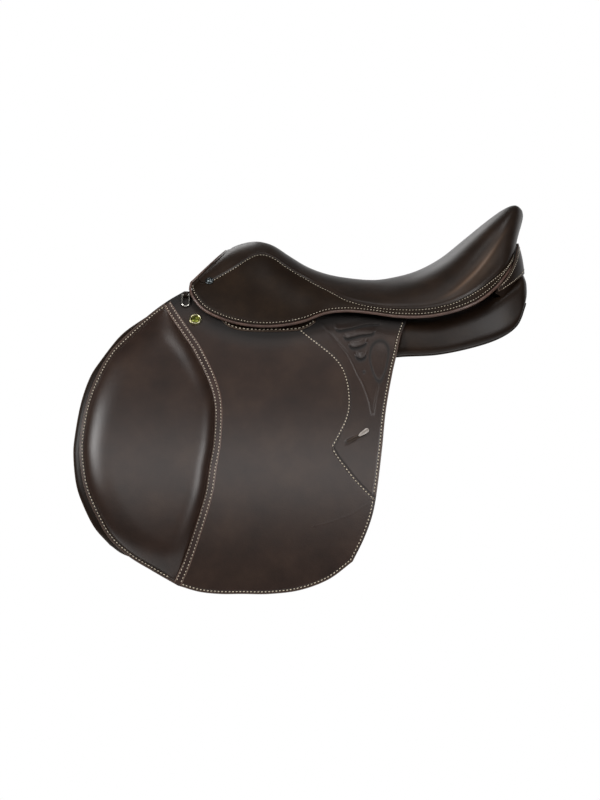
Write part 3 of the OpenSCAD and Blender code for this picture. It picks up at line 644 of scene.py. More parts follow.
def sheet(name: str, net: Points, outward: Sequence[float], thick: float, rounding: float = 0.0,
          inset: Points | None = None, thin: Points | None = None, least: float = 1.0,
          marks: dict[str, Points] | None = None, weld: bool = False) -> Piece:
    """Sheet of leather through a net of points, made from a grid whose corners move to the net.

    Args:
        name: Name of the object.
        net: Points in metres, with one axis along each edge.
        outward: Rough direction of the finished face.
        thick: Thickness in millimetres, laid under the net.
        rounding: Radius of the cut edges in millimetres.
        inset: Distance of each point from the sewn edge in millimetres, for the finish.
        thin: Share from 0 to 1 of the thickness at each point.
        least: Share of the thickness where thin is 0.
        marks: Shares from 0 to 1 at each point that the finish reads by name.
        weld: Whether points of the edges that meet are joined.

    Returns:
        The object, with its modifiers baked.
    """
    bm = bmesh.new()
    bmesh.ops.create_grid(bm, x_segments=net.shape[0] - 1, y_segments=net.shape[1] - 1, size=1.0)
    values = {"inset": np.zeros(net.shape[:2]) if inset is None else near_edge(inset), **(marks or {})}
    for mark in values:
        bm.verts.layers.float.new(mark)
    layers = {mark: bm.verts.layers.float[mark] for mark in values}
    deform = bm.verts.layers.deform.verify()
    for v in bm.verts:
        i, j = grid_place(v, net)
        v.co = net[i, j]
        for mark, layer in layers.items():
            v[layer] = float(values[mark][i, j])
        if thin is not None:
            v[deform][0] = float(thin[i, j])
    if weld:
        bmesh.ops.remove_doubles(bm, verts=bm.verts[:], dist=20 * WELD)
    bm.normal_update()
    if sum(f.normal.dot(Vector(outward)) * f.calc_area() for f in bm.faces) < 0:
        bmesh.ops.reverse_faces(bm, faces=bm.faces[:])
    piece = finished(name, bm)
    wall = piece.modifiers.new("wall", "SOLIDIFY")
    wall.thickness = thick * MM
    wall.offset = -1
    wall.use_even_offset = False
    if thin is not None:
        piece.vertex_groups.new(name="thin")
        wall.vertex_group = "thin"
        wall.thickness_vertex_group = least
    if rounding:
        round_edges(piece, rounding, 3, 50)
    return settle(piece, 60)


def cushion(name: str, top: Points, base: Points, inset: Points) -> Piece:
    """Closed stuffed form between a swollen face and a flat base with the same edge.

    Args:
        name: Name of the object.
        top: Net of the swollen face in metres.
        base: Net of the base, equal to the top along its edges.
        inset: Distance from the sewn edge in millimetres, for the finish.

    Returns:
        The object.
    """
    bm = bmesh.new()
    bmesh.ops.create_grid(bm, x_segments=top.shape[0] - 1, y_segments=top.shape[1] - 1, size=1.0)
    layer = bm.verts.layers.float.new("inset")
    places = {v: grid_place(v, top) for v in bm.verts}
    copy = bmesh.ops.duplicate(bm, geom=bm.verts[:] + bm.edges[:] + bm.faces[:])
    twins = {copy["vert_map"][v]: ij for v, ij in places.items()}
    values = near_edge(inset)
    for group, net in ((places, top), (twins, base)):
        for v, (i, j) in group.items():
            v.co = net[i, j]
            v[layer] = float(values[i, j])
    under = [f for f in bm.faces if all(v in twins for v in f.verts)]
    bmesh.ops.reverse_faces(bm, faces=under)
    bmesh.ops.remove_doubles(bm, verts=bm.verts[:], dist=WELD)
    bm.normal_update()
    bmesh.ops.recalc_face_normals(bm, faces=bm.faces[:])
    return finished(name, bm)


def round_cord(name: str, path: Points, radius: float) -> Piece:
    """Round cord along a path.

    Args:
        name: Name of the object.
        path: Points in metres.
        radius: Radius in millimetres.

    Returns:
        The object as a mesh.
    """
    curve = bpy.data.curves.new(name, "CURVE")
    curve.dimensions = "3D"
    curve.bevel_depth = radius * MM
    curve.bevel_resolution = 3
    curve.use_fill_caps = True
    line = curve.splines.new("POLY")
    line.points.add(len(path) - 1)
    line.points.foreach_set("co", np.c_[path, np.ones(len(path))].ravel())
    holder = link(name, curve)
    mesh = evaluated(holder)
    bpy.data.objects.remove(holder)
    bpy.data.curves.remove(curve)
    mesh.name = name
    return link(name, mesh)


def lathe(bm: bmesh.types.BMesh, profile: Sequence[tuple[float, float]], place: Vector, axis: Vector) -> None:
    """Turns a profile into a round piece.

    Args:
        bm: Mesh that takes the piece.
        profile: Radius and height of each point in millimetres, from the crown to the foot.
        place: Foot of the axis in metres.
        axis: Direction of the axis.
    """
    turn = Matrix.Translation(place) @ axis.to_track_quat("Z", "Y").to_matrix().to_4x4()
    verts = [bm.verts.new((r * MM, 0, h * MM)) for r, h in profile]
    edges = [bm.edges.new(pair) for pair in zip(verts[:-1], verts[1:])]
    bmesh.ops.spin(bm, geom=verts + edges, cent=(0, 0, 0), axis=(0, 0, 1), angle=math.tau, steps=32,
                   use_merge=True)
    # Vertices of the pieces before this one carry a tag
    loose = [v for v in bm.verts if not v.tag]
    bmesh.ops.remove_doubles(bm, verts=loose, dist=WELD)
    fresh = [v for v in bm.verts if not v.tag]
    faces = list({f for v in fresh for f in v.link_faces})
    bmesh.ops.recalc_face_normals(bm, faces=faces)
    bmesh.ops.transform(bm, matrix=turn, verts=fresh)
    for v in fresh:
        v.tag = True


@dataclass(frozen=True)
class Thread:
    """Row of stitches: spacing and size of what shows of each in millimetres, and slant in degrees."""

    pitch: float = 4.3
    length: float = 2.2
    width: float = 1.05
    slant: float = 8.0
    # Shares of the width by which a stitch stands up and is lifted
    height: float = 0.75
    lift: float = 0.1

    def sew(self, name: str, rows: Rows) -> Piece:
        """Sews stitches along rows.

        Args:
            name: Name of the object.
            rows: For each row, its dense path in metres and the outward direction at each point.

        Returns:
            One object with all the stitches.
        """
        bm = bmesh.new()
        for path, normals in rows:
            length = np.linalg.norm(np.diff(path, axis=0), axis=1).sum()
            count = max(1, int(length / (self.pitch * MM)))
            shares = (np.arange(count) + 0.5) / count
            ahead = along(path, np.minimum(shares + 0.001, 1)) - along(path, np.maximum(shares - 0.001, 0))
            for p, d, n in zip(along(path, shares), ahead, along(path, shares, normals)):
                way, up = Vector(d).normalized(), Vector(n).normalized()
                way = (Matrix.Rotation(math.radians(self.slant), 3, up) @ way).normalized()
                sizes = (up.cross(way), self.width), (up, self.width * self.height), (way, self.length)
                frame = Matrix.Identity(4)
                for r in range(3):
                    for k, (axis, size) in enumerate(sizes):
                        frame[r][k] = axis[r] * size * MM / 2
                    frame[r][3] = p[r] + up[r] * self.width * self.lift * MM
                bmesh.ops.create_uvsphere(bm, u_segments=6, v_segments=4, radius=1.0, matrix=frame)
        bmesh.ops.recalc_face_normals(bm, faces=bm.faces[:])
        return finished(name, bm)


SEAT_THREAD = Thread()
FLAP_THREAD = Thread(pitch=4.6, length=2.6, width=1.6)
STRIP_THREAD = Thread(pitch=4.5, length=2.4, width=1.35)
TAB_THREAD = Thread(pitch=5.2, length=3.0, width=1.5, slant=0.0)
STRAP_THREAD = Thread(pitch=4.2, length=3.0, width=1.0, slant=0.0)


def add_node(tree: bpy.types.NodeTree, kind: str, inputs: dict[Any, Any] | None = None, out: int | str = 0,
             stops: Sequence[tuple[float, str]] = (), **settings: Any) -> Any:
    """Adds a shader node with its settings and links.

    Args:
        tree: Node tree of a material or of the world.
        kind: Node type without its first word.
        inputs: Input sockets by name or number. A socket as the value is linked, anything else is set.
        out: Output that is wanted, by name or number.
        stops: Places and hex colours, where the node runs through colours.
        settings: Properties of the node.

    Returns:
        The wanted output, or None for a node without outputs.
    """
    node = tree.nodes.new(f"ShaderNode{kind}")
    for key, value in settings.items():
        setattr(node, key, value)
    for key, value in (inputs or {}).items():
        if isinstance(value, Socket):
            tree.links.new(value, node.inputs[key])
        else:
            node.inputs[key].default_value = value
    for i, (place, code) in enumerate(stops):
        marks = node.color_ramp.elements
        mark = marks[i] if i < 2 else marks.new(place)
        mark.position, mark.color = place, linear(code)
    return node.outputs[out] if len(node.outputs) else None


def blank(name: str) -> tuple[bpy.types.Material, Callable[..., Any]]:
    """New material with an empty node tree.

    Args:
        name: Name of the material.

    Returns:
        The material, and add_node for its tree.
    """
    material = bpy.data.materials.new(name)
    material.use_nodes = True
    material.node_tree.nodes.clear()
    return material, partial(add_node, material.node_tree)


@dataclass(frozen=True)
class Leather:
    """Vegetable-tanned leather, dyed and waxed, with its cut edges rubbed smooth.

    Colours are hex values, and lengths are in millimetres.
    """

    name: str
    deep: str
    body: str
    worn: str
    edge: str
    roughness: float
    grain: float = 1.6
    depth: float = 0.09
    patch: float = 45.0
    shine: float = 0.5
    groove: float = 0.0
    wrinkle: float = 9.0
    # Colour of the seat fold's rubbed wear and painted highlight
    rubbed: str = "#5a4739"
    # Colour towards which painted shade darkens the leather
    hollow: str = "#0b0705"

    def make(self) -> bpy.types.Material:
        """Builds the material.

        Returns:
            Material with a mottled dye, a pebbled grain, and rubbed edges where the piece has an inset.
        """
        material, add = blank(self.name)
        place = add("TexCoord", out="Object")
        # Slow change of the dye over a hand's breadth, and finer clouds inside it
        clouds = add("TexNoise", {"Vector": place, "Scale": 1 / (self.patch * MM), "Detail": 5.0,
                                  "Roughness": 0.6}, "Fac")
        dye = add("ValToRGB", {"Fac": clouds}, "Color",
                  ((0.3, self.deep), (0.52, self.body), (0.75, self.worn)))
        # Pebbles of the grain, drawn a little coarser than life so that they show
        pebble = add("TexVoronoi", {"Vector": place, "Scale": 1 / (self.grain * MM)}, "Distance",
                     feature="SMOOTH_F1")
        pores = add("TexNoise", {"Vector": place, "Scale": 1 / (0.5 * self.grain * MM), "Detail": 3.0}, "Fac")
        wrinkle = add("TexNoise", {"Vector": place, "Scale": 1 / (self.wrinkle * MM), "Detail": 4.0,
                                   "Distortion": 0.8}, "Fac")
        height = add("Math", {0: pebble, 1: wrinkle}, operation="ADD")
        rough = add("MapRange", {"Value": pores, "To Min": self.roughness - 0.05,
                                 "To Max": self.roughness + 0.07})
        # Rubbed edge, which fades out from 0.3 to 1.8 mm inside it
        inset = add("Attribute", out="Fac", attribute_name="inset")
        edge = add("MapRange", {"Value": inset, "From Min": 1 - 1.8 / INSET_REACH,
                                "From Max": 1 - 0.3 / INSET_REACH})
        colour = add("Mix", {"Factor": edge, 6: dye, 7: linear(self.edge)}, 2, data_type="RGBA")
        if self.groove:
            # Line that the awl and the thread press into the leather, darkened as painted shade
            off = add("Math", {0: inset, 1: 1 - self.groove / INSET_REACH}, operation="SUBTRACT")
            away = add("Math", {0: off}, operation="ABSOLUTE")
            press = add("MapRange", {"Value": away, "From Min": 0.0, "From Max": 1.3 / INSET_REACH,
                                     "To Min": 1.0, "To Max": 0.0}, interpolation_type="SMOOTHSTEP")
            height = add("Math", {0: press, 1: -6.0, 2: height}, operation="MULTIPLY_ADD")
            shade = add("Math", {0: press, 1: 0.55}, operation="MULTIPLY")
            colour = add("Mix", {"Factor": shade, 6: colour, 7: linear(self.deep)}, 2, data_type="RGBA")
        # Paler along the seat's fold: rubbed wear, with a painted highlight on its ridge
        rub = add("Attribute", out="Fac", attribute_name="rub")
        colour = add("Mix", {"Factor": rub, 6: colour, 7: linear(self.rubbed)}, 2, data_type="RGBA")
        # Painted shade in pressed hollows, along cut edges and under the skirt: darker colour, and duller
        hollow = add("Attribute", out="Fac", attribute_name="hollow")
        rough = add("Math", {0: hollow, 1: 0.4, 2: rough}, operation="MULTIPLY_ADD", use_clamp=True)
        colour = add("Mix", {"Factor": hollow, 6: colour, 7: linear(self.hollow)}, 2, data_type="RGBA")
        bump = add("Bump", {"Height": height, "Strength": 0.5, "Distance": self.depth * MM})
        shader = add("BsdfPrincipled", {"Base Color": colour, "Roughness": rough, "Normal": bump, "IOR": 1.5,
                                        "Specular IOR Level": self.shine})
        add("OutputMaterial", {"Surface": shader})
        return material


@dataclass(frozen=True)
class Metal:
    """Metal with fine marks from its making. Colours are hex values, and lengths are in millimetres."""

    name: str
    light: str
    dark: str
    roughness: float
    mark: float
    depth: float = 0.004
    stretch: tuple[float, float, float] = (1.0, 1.0, 1.0)
    stain: float = 7.0

    def make(self) -> bpy.types.Material:
        """Builds the material.

        Returns:
            Material with uneven tarnish and fine marks.
        """
        material, add = blank(self.name)
        place = add("TexCoord", out="Object")
        lie = add("Mapping", {"Vector": place, "Scale": self.stretch})
        marks = add("TexNoise", {"Vector": lie, "Scale": 1 / (self.mark * MM), "Detail": 4.0}, "Fac")
        tarnish = add("TexNoise", {"Vector": place, "Scale": 1 / (self.stain * MM), "Detail": 3.0}, "Fac")
        colour = add("ValToRGB", {"Fac": tarnish}, "Color", ((0.35, self.dark), (0.65, self.light)))
        rough = add("MapRange", {"Value": marks, "To Min": self.roughness - 0.06,
                                 "To Max": self.roughness + 0.1})
        bump = add("Bump", {"Height": marks, "Strength": 0.4, "Distance": self.depth * MM})
        shader = add("BsdfPrincipled", {"Base Color": colour, "Metallic": 1.0, "Roughness": rough,
                                        "Normal": bump})
        add("OutputMaterial", {"Surface": shader})
        return material


@dataclass(frozen=True)
class Woven:
    """Linen yarn: twisted thread, or a plain-woven web. Colours are hex values, lengths in millimetres."""

    name: str
    light: str
    dark: str
    yarn: float
    crossed: bool
    fuzz: float = 2.5
    depth: float = 0.2

    def make(self) -> bpy.types.Material:
        """Builds the material.

        Returns:
            Material with its yarns and the shade between them.
        """
        material, add = blank(self.name)
        place = add("TexCoord", out="Object")
        # One wave per two yarns
        wave = {"Vector": place, "Scale": math.pi / 10 / (self.yarn * MM), "Distortion": 0.6}
        warp = add("TexWave", wave, "Fac", bands_direction="X" if self.crossed else "DIAGONAL")
        if self.crossed:
            weft = add("TexWave", wave, "Fac", bands_direction="Y")
            warp = add("Math", {0: warp, 1: weft}, operation="MULTIPLY")
        fuzz = add("TexNoise", {"Vector": place, "Scale": 1 / (self.fuzz * MM), "Detail": 4.0}, "Fac")
        mix = add("Math", {0: warp, 1: 0.6, 2: fuzz}, operation="MULTIPLY_ADD")
        colour = add("ValToRGB", {"Fac": mix}, "Color", ((0.35, self.dark), (0.9, self.light)))
        bump = add("Bump", {"Height": warp, "Strength": 0.6, "Distance": self.depth * MM})
        shader = add("BsdfPrincipled", {"Base Color": colour, "Roughness": 0.8, "Normal": bump,
                                        "Sheen Weight": 0.15, "Sheen Roughness": 0.5})
        add("OutputMaterial", {"Surface": shader})
        return material


@dataclass(frozen=True)
class Laminate:
    """Glued layers of wood, sawn and sanded. Colours are hex values, and lengths are in millimetres."""

    name: str
    light: str
    dark: str
    layer: float = 1.6
    fibre: float = 0.7
    depth: float = 0.15

    def make(self) -> bpy.types.Material:
        """Builds the material.

        Returns:
            Material with long fibres and layers.
        """
        material, add = blank(self.name)
        place = add("TexCoord", out="Object")
        lie = add("Mapping", {"Vector": place, "Scale": (0.08, 1.0, 1.0)})
        fibres = add("TexNoise", {"Vector": lie, "Scale": 1 / (self.fibre * MM), "Detail": 5.0}, "Fac")
        # One wave per two layers
        layers = add("TexWave", {"Vector": place, "Scale": math.pi / 10 / (self.layer * MM),
                                 "Distortion": 1.2}, "Fac", bands_direction="Z")
        mix = add("Math", {0: layers, 1: 0.35, 2: fibres}, operation="MULTIPLY_ADD")
        colour = add("ValToRGB", {"Fac": mix}, "Color", ((0.35, self.dark), (0.85, self.light)))
        bump = add("Bump", {"Height": fibres, "Strength": 0.3, "Distance": self.depth * MM})
        shader = add("BsdfPrincipled", {"Base Color": colour, "Roughness": 0.55, "Normal": bump})
        add("OutputMaterial", {"Surface": shader})
        return material


class Finish(Enum):
    """Finishes of the saddle."""

    # Skirt leather: smooth calf, dry to the touch, almost black-brown where no light strikes it
    CALF = Leather("calf_leather_dry", "#180f09", "#1f150d", "#281c12", "#3f3127", 0.44, shine=0.12,
                   groove=4.2)
    # Seat leather: the same hide with a grippier, slightly olive face
    SEAT = Leather("seat_calf_leather_dry", "#18100a", "#20160f", "#291d14", "#20160f", 0.38, shine=0.3)
    # Flap leather: large smooth panels with a soft, wide shine
    FLAP = Leather("flap_leather_waxed", "#21150f", "#2a1c15", "#34251c", "#4d3d34", 0.36, groove=3.6)
    # Bridle leather for straps, sweat flaps and panels, dyed darker
    DARK = Leather("bridle_leather_dark", "#160e09", "#1d140e", "#261b13", "#463930", 0.38, shine=0.2)
    # Thin skived leather over cord, redder where it is stretched and rubbed
    PIPING = Leather("skived_leather_piping", "#3c2c26", "#503c34", "#624c42", "#70584c", 0.3, grain=1.0,
                     depth=0.05, patch=20)
    # Strip leather, a shade redder than the flap
    STRIP = Leather("strip_leather_skived", "#271b17", "#33241f", "#3e2d26", "#6a554b", 0.36, grain=1.2,
                    patch=25)
    # Loop tab leather, painted pale grey as a highlight
    RUBBED = Leather("loop_leather_rubbed", "#6f6761", "#857d77", "#98908a", "#a49c95", 0.3, grain=1.0,
                     depth=0.05, patch=6)
    # Waxed linen thread, a little soiled
    THREAD = Woven("linen_thread_waxed", "#cbbfaa", "#9a8c77", 0.5, False)
    # Dark woven girth web
    WEB = Woven("linen_web_woven", "#3a332b", "#221c17", 0.9, True)
    # Glued beech of the tree, whose layers show as fine lines
    BEECH = Laminate("beech_laminate_sanded", "#c39a66", "#96693c")
    # Forged steel, ground along its length and oiled
    STEEL = Metal("forged_steel_ground", "#a5a6a6", "#7f8080", 0.38, 0.8, 0.01, (0.15, 1.0, 1.0))
    # Nickel plate on the dee rings, bright and smooth
    NICKEL = Metal("nickel_plate_polished", "#cfccc4", "#aaa79f", 0.2, 0.5)
    # Nickel that has gone dull and grey on the pommel nails
    DULL = Metal("nickel_plate_dulled", "#62686a", "#3e4344", 0.24, 0.5)
    # Pale brass rim, polished by rubbing
    PALE = Metal("turned_brass_rubbed", "#c9c4a0", "#a8a27a", 0.26, 0.4)
    # Turned brass with a greenish lacquer
    BRASS = Metal("turned_brass_lacquered", "#767a36", "#585d28", 0.36, 0.4)


@dataclass
class Bench:
    """Where pieces are dressed, set on their bodies and counted."""

    materials: dict[Finish, bpy.types.Material] = field(
        default_factory=lambda: {finish: finish.value.make() for finish in Finish})
    made: list[str] = field(default_factory=list)

    def dress(self, piece: Piece, finish: Finish, slot: Slot | None, carrier: Carrier,
              nodes: Sequence[str] = (), fill: float | None = None, side: Side = Side.NEAR) -> None:
        """Gives a piece its finish and its body.

        Args:
            piece: Object whose mesh is final.
            finish: Its finish.
            slot: Slot of the record, or None for thread. Not used.
            carrier: How it follows the bodies.
            nodes: Nodes of the frame that the piece stands for; {side} is filled in.
            fill: How tight a padded piece is stuffed, or None. Not used.
            side: Side that the names take.
        """
        piece.data.materials.clear()
        piece.data.materials.append(self.materials[finish])
        carrier.take(piece, side)
        if nodes:
            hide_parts(*(n.format(side=side.value) for n in nodes))
        self.made.append(piece.name)
        LOG.info("%s: %d faces", piece.name, len(piece.data.polygons))

    def dress_pair(self, near: Piece, finish: Finish, slot: Slot | None, carrier: Carrier,
                   nodes: Sequence[str] = (), fill: float | None = None) -> None:
        """Mirrors a near-side piece to the off side and dresses both.

        Args:
            near: Finished near-side object.
            finish: Their finish.
            slot: Slot of the record, or None for thread. Passed on to dress, which does not use it.
            carrier: How the pieces follow the bodies of their side.
            nodes: Nodes that they stand for, with {side}.
            fill: How tight padded pieces are stuffed, or None. Passed on to dress, which does not use it.
        """
        base = near.name
        near.name = f"{base}_left"
        off = mirrored(near, f"{base}_right")
        for piece, side in ((near, Side.NEAR), (off, Side.OFF)):
            self.dress(piece, finish, slot, carrier, nodes, fill, side)

    def sew(self, thread: Thread, name: str, rows: Rows, carrier: Carrier, pair: bool = True) -> None:
        """Sews stitches along rows and dresses them.

        Args:
            thread: Kind of stitches.
            name: Name of the object.
            rows: Path and outward directions of each row.
            carrier: How the stitches follow the bodies.
            pair: Whether the off side gets them as well.
        """
        dress = self.dress_pair if pair else self.dress
        dress(thread.sew(name, rows), Finish.THREAD, None, carrier)


@dataclass
class SeatAssembly:
    """Seat cushion, sides with skirts, piping, facings and nails. Lengths in millimetres."""

    bench: Bench
    leather: float = 3.2
    lining: float = 1.0
    foam_middle: float = 14.0
    foam_side: float = 7.0
    packing: float = 0.95
    piping_radius: float = 1.95
    seam_dip: float = 1.5
    beak: float = 0.32
    beak_round: float = 9.0
    beak_reach: float = 45.0
    facing: float = 36.0
    nail_station: float = 1.27
    nail_share: float = 0.8
    # Half the gap between the leathers at the seam, as a share of a rib
    seam_gap: float = 0.003

    def build(self) -> None:
        """Builds every piece of the seat."""
        self.seat_cushion()
        self.sides()
        self.piping()
        self.seams()
        self.front_facing()
        self.arch_lining()
        self.rear_facing()
        self.nails()

    @staticmethod
    def stations(end: float, count: int) -> Points:
        """Stations of a net from the front arch to an end, closer together at the bound edge."""
        return np.r_[np.linspace(0.0, 0.8, 17), np.linspace(0.8, end, count)[1:]][:, None]

    def seat_cushion(self) -> None:
        """Stuffed seat from the front arch over the dip to the cantle, drawn down at its seams."""
        s, j = self.stations(SEAT.last, 190), (2 * crowded(150, 0.4) - 1)[None, :]
        seam, scale = SEAT.seam(s), SEAT.rib_length(s)
        t = j * (seam - self.seam_gap)
        reach = (1 - np.abs(j)) * seam * scale
        groove = self.seam_dip * bell(reach, 2.6) - 0.25 * bell(reach - 7, 5)
        depth, rub = self.fold(s, np.abs(t), scale)
        net = SEAT.under(s, t, groove * self.sewn(s) + self.bound_edge(s) + depth)
        net[-1, :, 1] = 0.0
        # The ribs meet in a point at the top of the back, which the stuffing rounds
        away = np.linalg.norm(net - SEAT.point(SEAT.last, 0.0), axis=-1) / MM
        net[..., 0] -= self.beak * (np.hypot(away, self.beak_round) - away) * bell(away, self.beak_reach) * MM
        # Foam lies under the leather away from the edges
        foam = self.foam_side + (self.foam_middle - self.foam_side) * clamp(1 - (t / 0.65) ** 2)
        inside = clamp((0.6 - np.abs(t)) / 0.12) * clamp((s - 1.2) / 0.8) * clamp((14.3 - s) / 0.8)
        whole = self.leather + self.lining + self.foam_middle * self.packing
        share = (self.leather + inside * (self.lining + self.packing * foam)) / whole
        least = self.leather / whole
        # The fold's paler mark is rubbed wear and a painted highlight
        piece = sheet("seat_cushion", net, (0, 0, 1), whole, 0.9, np.broadcast_to(reach, net.shape[:2]),
                      clamp((share - least) / (1 - least)), least, {"rub": rub}, True)
        self.bench.dress(piece, Finish.SEAT, Slot.LEATHER, FIXED,
                         ("seat_cover", "seat_foam", "cantle_roll"), 0.9)

    @staticmethod
    def sewn(s: Points) -> Points:
        """1 where the seat's seam is sewn, and 0 in front of the nails."""
        return clamp((s - 1.05) / 0.4)

    @staticmethod
    def bound_edge(s: Points) -> Points:
        """Depth of the groove behind the bound edge of the front arch."""
        return 1.3 * bell(s - 0.36, 0.1)

    @staticmethod
    def fold(s: Points, t: Points, scale: Points) -> tuple[Points, Points]:
        """Soft fold along the seat's flank, with a shallow valley above it.

        Args:
            s: Stations.
            t: Shares of the rib, above 0.
            scale: Millimetres per unit share.

        Returns:
            Depth under the plain surface in millimetres, and the share of paler colour: rubbed wear with a
            painted highlight.
        """
        marks = np.array(SEAT_FOLD)
        at = np.interp(s, marks[:, 0], np.arange(len(marks)))
        place, rise = (spline(marks[:, k:k + 1], at)[..., 0] for k in (1, 2))
        rise = np.maximum(rise, 0)
        away = (t - place) * scale
        depth = rise * (0.5 * bell(away + 15, 14) - bell(away, 9.5))
        # A narrow painted highlight just above the ridge's crest, over a broad paler band of rubbed wear
        # around the ridge
        return depth, clamp(rise / 1.5) * (0.75 * bell(away + 4, 3.6) + 0.25 * bell(away + 2, 15, 4))

    def sides(self) -> None:
        """Leather between the seat's seam and the piped edge, with the skirt as its free front part."""
        s, v = self.stations(SEAT.last - 0.01, 186), crowded(34, 0.55)[None, :]
        low, high = SEAT.trimmed(s, 0.2), SEAT.seam(s) + self.seam_gap
        t = -(low + (high - low) * v)
        scale = SEAT.rib_length(s)
        to_edge, to_seam = (low - np.abs(t)) * scale, np.maximum((np.abs(t) - high) * scale, 0)
        # Both rows of stitches lie in a groove of the finish
        edge = np.minimum(np.minimum(to_edge + 1.8, to_seam + 1.8), 30.0)
        dip = (self.seam_dip * bell(to_seam, 2.4) * self.sewn(s) + self.bound_edge(s)
               + 0.5 * bell(to_edge, 1.6) + 0.35 * bell(to_edge - 2.4, 1.4))
        piece = sheet("seat_side", SEAT.under(s, t, dip), SIDE_OUT, 3.4, 0.8, edge)
        self.bench.dress_pair(piece, Finish.CALF, Slot.LEATHER, SKIRT_BEND,
                              ("seat_side_{side}", "skirt_{side}"))

    def piping(self) -> None:
        """Piping in one run from the cantle along the lower edge, round the front corner and up the arch."""
        s = np.linspace(SEAT.last - 0.03, 0.3, 150)
        t = np.linspace(-0.965, 0.0, 40)
        front = SEAT.point(0.0, t) + (SEAT.point(0.0, t) - SEAT.point(0.3, t)) * 0.2
        path = np.concatenate([SEAT.under(s, -SEAT.piped(s), 1.4), front - SEAT.normal(0.0, t) * MM])
        near = round_cord("edge_piping", even(path, 360), self.piping_radius)
        self.bench.dress_pair(near, Finish.PIPING, Slot.PIPING, SKIRT_BEND,
                              ("seat_piping_{side}", "skirt_piping_{side}"))

    def seams(self) -> None:
        """Stitches along the seat's seam, with a tape behind it, and above the piping."""
        s = np.linspace(1.34, SEAT.last - 0.25, 400)
        t = -(SEAT.seam(s) + 2.4 / SEAT.rib_length(s))
        row = SEAT.under(s, t, 0.5), SEAT.normal(s, t)
        self.bench.sew(SEAT_THREAD, "seam_stitches", [row], FIXED)
        s = np.linspace(0.9, SEAT.last - 0.05, 160)[:, None]
        t = -(SEAT.seam(s) + np.linspace(-7, 7, 5)[None, :] / SEAT.rib_length(s))
        tape = sheet("seam_tape", SEAT.under(s, t, np.full_like(t, 5.2)), SIDE_OUT, 0.8)
        self.bench.dress_pair(tape, Finish.DARK, Slot.DARK, FIXED)
        s = np.linspace(0.25, SEAT.last - 0.3, 420)
        t = -SEAT.trimmed(s, 2.5)
        row = SEAT.under(s, t, 0.35), SEAT.normal(s, t)
        self.bench.sew(SEAT_THREAD, "edge_stitches", [row], SKIRT_BEND)

    def front_facing(self) -> None:
        """Leather band that closes the front arch, slightly rounded, with a stitched lower edge."""
        t = np.linspace(-0.98, 0.98, 81)[:, None]
        d = np.linspace(0.5, self.facing, 19)[None, :]
        ahead = unit(SEAT.point(0.0, t) - SEAT.point(0.3, t))
        belly = 3.0 + 1.2 * np.sin(np.pi * d / self.facing)
        net = SEAT.under(0.0, t, d) + ahead * (belly * MM)[..., None]
        edge = np.minimum(self.facing - d + 0 * t, (1 - np.abs(t)) * 100 + 0 * d)
        piece = sheet("front_facing", net, (-1, 0, 0), 2.6, 0.7, edge)
        self.bench.dress(piece, Finish.DARK, Slot.DARK, FIXED, ("pommel_facing",))
        line = (SEAT.under(0.0, t, np.full_like(t, 32.2)) + ahead * (3.6 * MM))[:, 0]
        row = (along(line, np.linspace(0, 1, 300)), np.repeat(ahead[len(t) // 2], 300, axis=0))
        self.bench.sew(SEAT_THREAD, "front_facing_stitches", [row], FIXED, False)

    def arch_lining(self) -> None:
        """Lining under the front arch, from the facing back to the channel, which hides the tree."""
        v = np.linspace(-6, 6, 73)
        front, back = (spline(line, np.abs(v) + 1) * MM for line in (ARCH_FRONT, ARCH_BACK))
        net = ruled(front, back, np.linspace(0, 1, 13))
        net[..., 1] *= np.sign(v)[:, None]
        piece = sheet("arch_lining", net, (-0.3, 0, -1), 1.2, 0.4)
        self.bench.dress(piece, Finish.DARK, Slot.DARK, FIXED)

    @staticmethod
    def lip(v: Points, k: Any) -> Points:
        """Point on the lip behind the cantle.

        Args:
            v: Place across, from -5 at the near end to 5.
            k: Share from the lower to the upper edge.

        Returns:
            Points in metres.
        """
        low, top = spline(LIP_LOW, np.abs(v)), spline(LIP_TOP, np.abs(v))
        k = np.asarray(k)[..., None]
        p = low * (1 - k) + top * k
        return np.stack([p[..., 0], p[..., 1] * np.sign(v), p[..., 2]], axis=-1) * MM

    def rear_facing(self) -> None:
        """Leather lip that joins the panels behind the cantle, with its stitches and its gusset."""
        v, k = np.broadcast_arrays(np.linspace(-5, 5, 101)[:, None], np.linspace(0, 1, 17)[None, :])
        net = self.lip(v, k)
        net[..., 0] += 1.4 * MM * np.sin(np.pi * k) * np.sin(np.pi * (v + 5) / 10)
        size = np.linalg.norm(self.lip(v, 1.0) - self.lip(v, 0.0), axis=-1) / MM
        edge = np.minimum(np.minimum(k, 1 - k) * size, (5 - np.abs(v)) * 21)
        piece = sheet("rear_facing_leather", net, (1, 0, 0), 2.4, 0.8, edge)
        self.bench.dress(piece, Finish.DARK, Slot.DARK, FIXED, ("rear_facing",))
        # The gusset closes the gap between the lip and the panels, shallow over the channel
        u = np.linspace(-4.9, 4.9, 99)
        drop = 4 + 15 * clamp((np.abs(u) - 1.2) / 1.3) * clamp((4.9 - np.abs(u)) / 0.8)
        hang = np.stack([np.full_like(u, -4.0), np.zeros_like(u), -drop], axis=-1) * MM
        far = np.linspace(0, 1, 7)[None, :, None]
        net = self.lip(u, 0.12)[:, None] + np.array([-2.4 * MM, 0, 0]) + hang[:, None] * far
        self.bench.dress(sheet("rear_gusset", net, (1, 0, 0), 1.6, 0.4), Finish.DARK, Slot.DARK, FIXED)
        u = np.linspace(-4.7, 4.7, 300)
        rise = self.lip(u, 0.6) - self.lip(u, 0.4)
        lines = [self.lip(u, share) + np.array([0.5 * MM, 0, 0]) for share in (0.13, 0.87)]
        rows = [(line, np.cross(np.gradient(line, axis=0), rise)) for line in lines]
        self.bench.sew(SEAT_THREAD, "rear_facing_stitches", rows, FIXED, False)

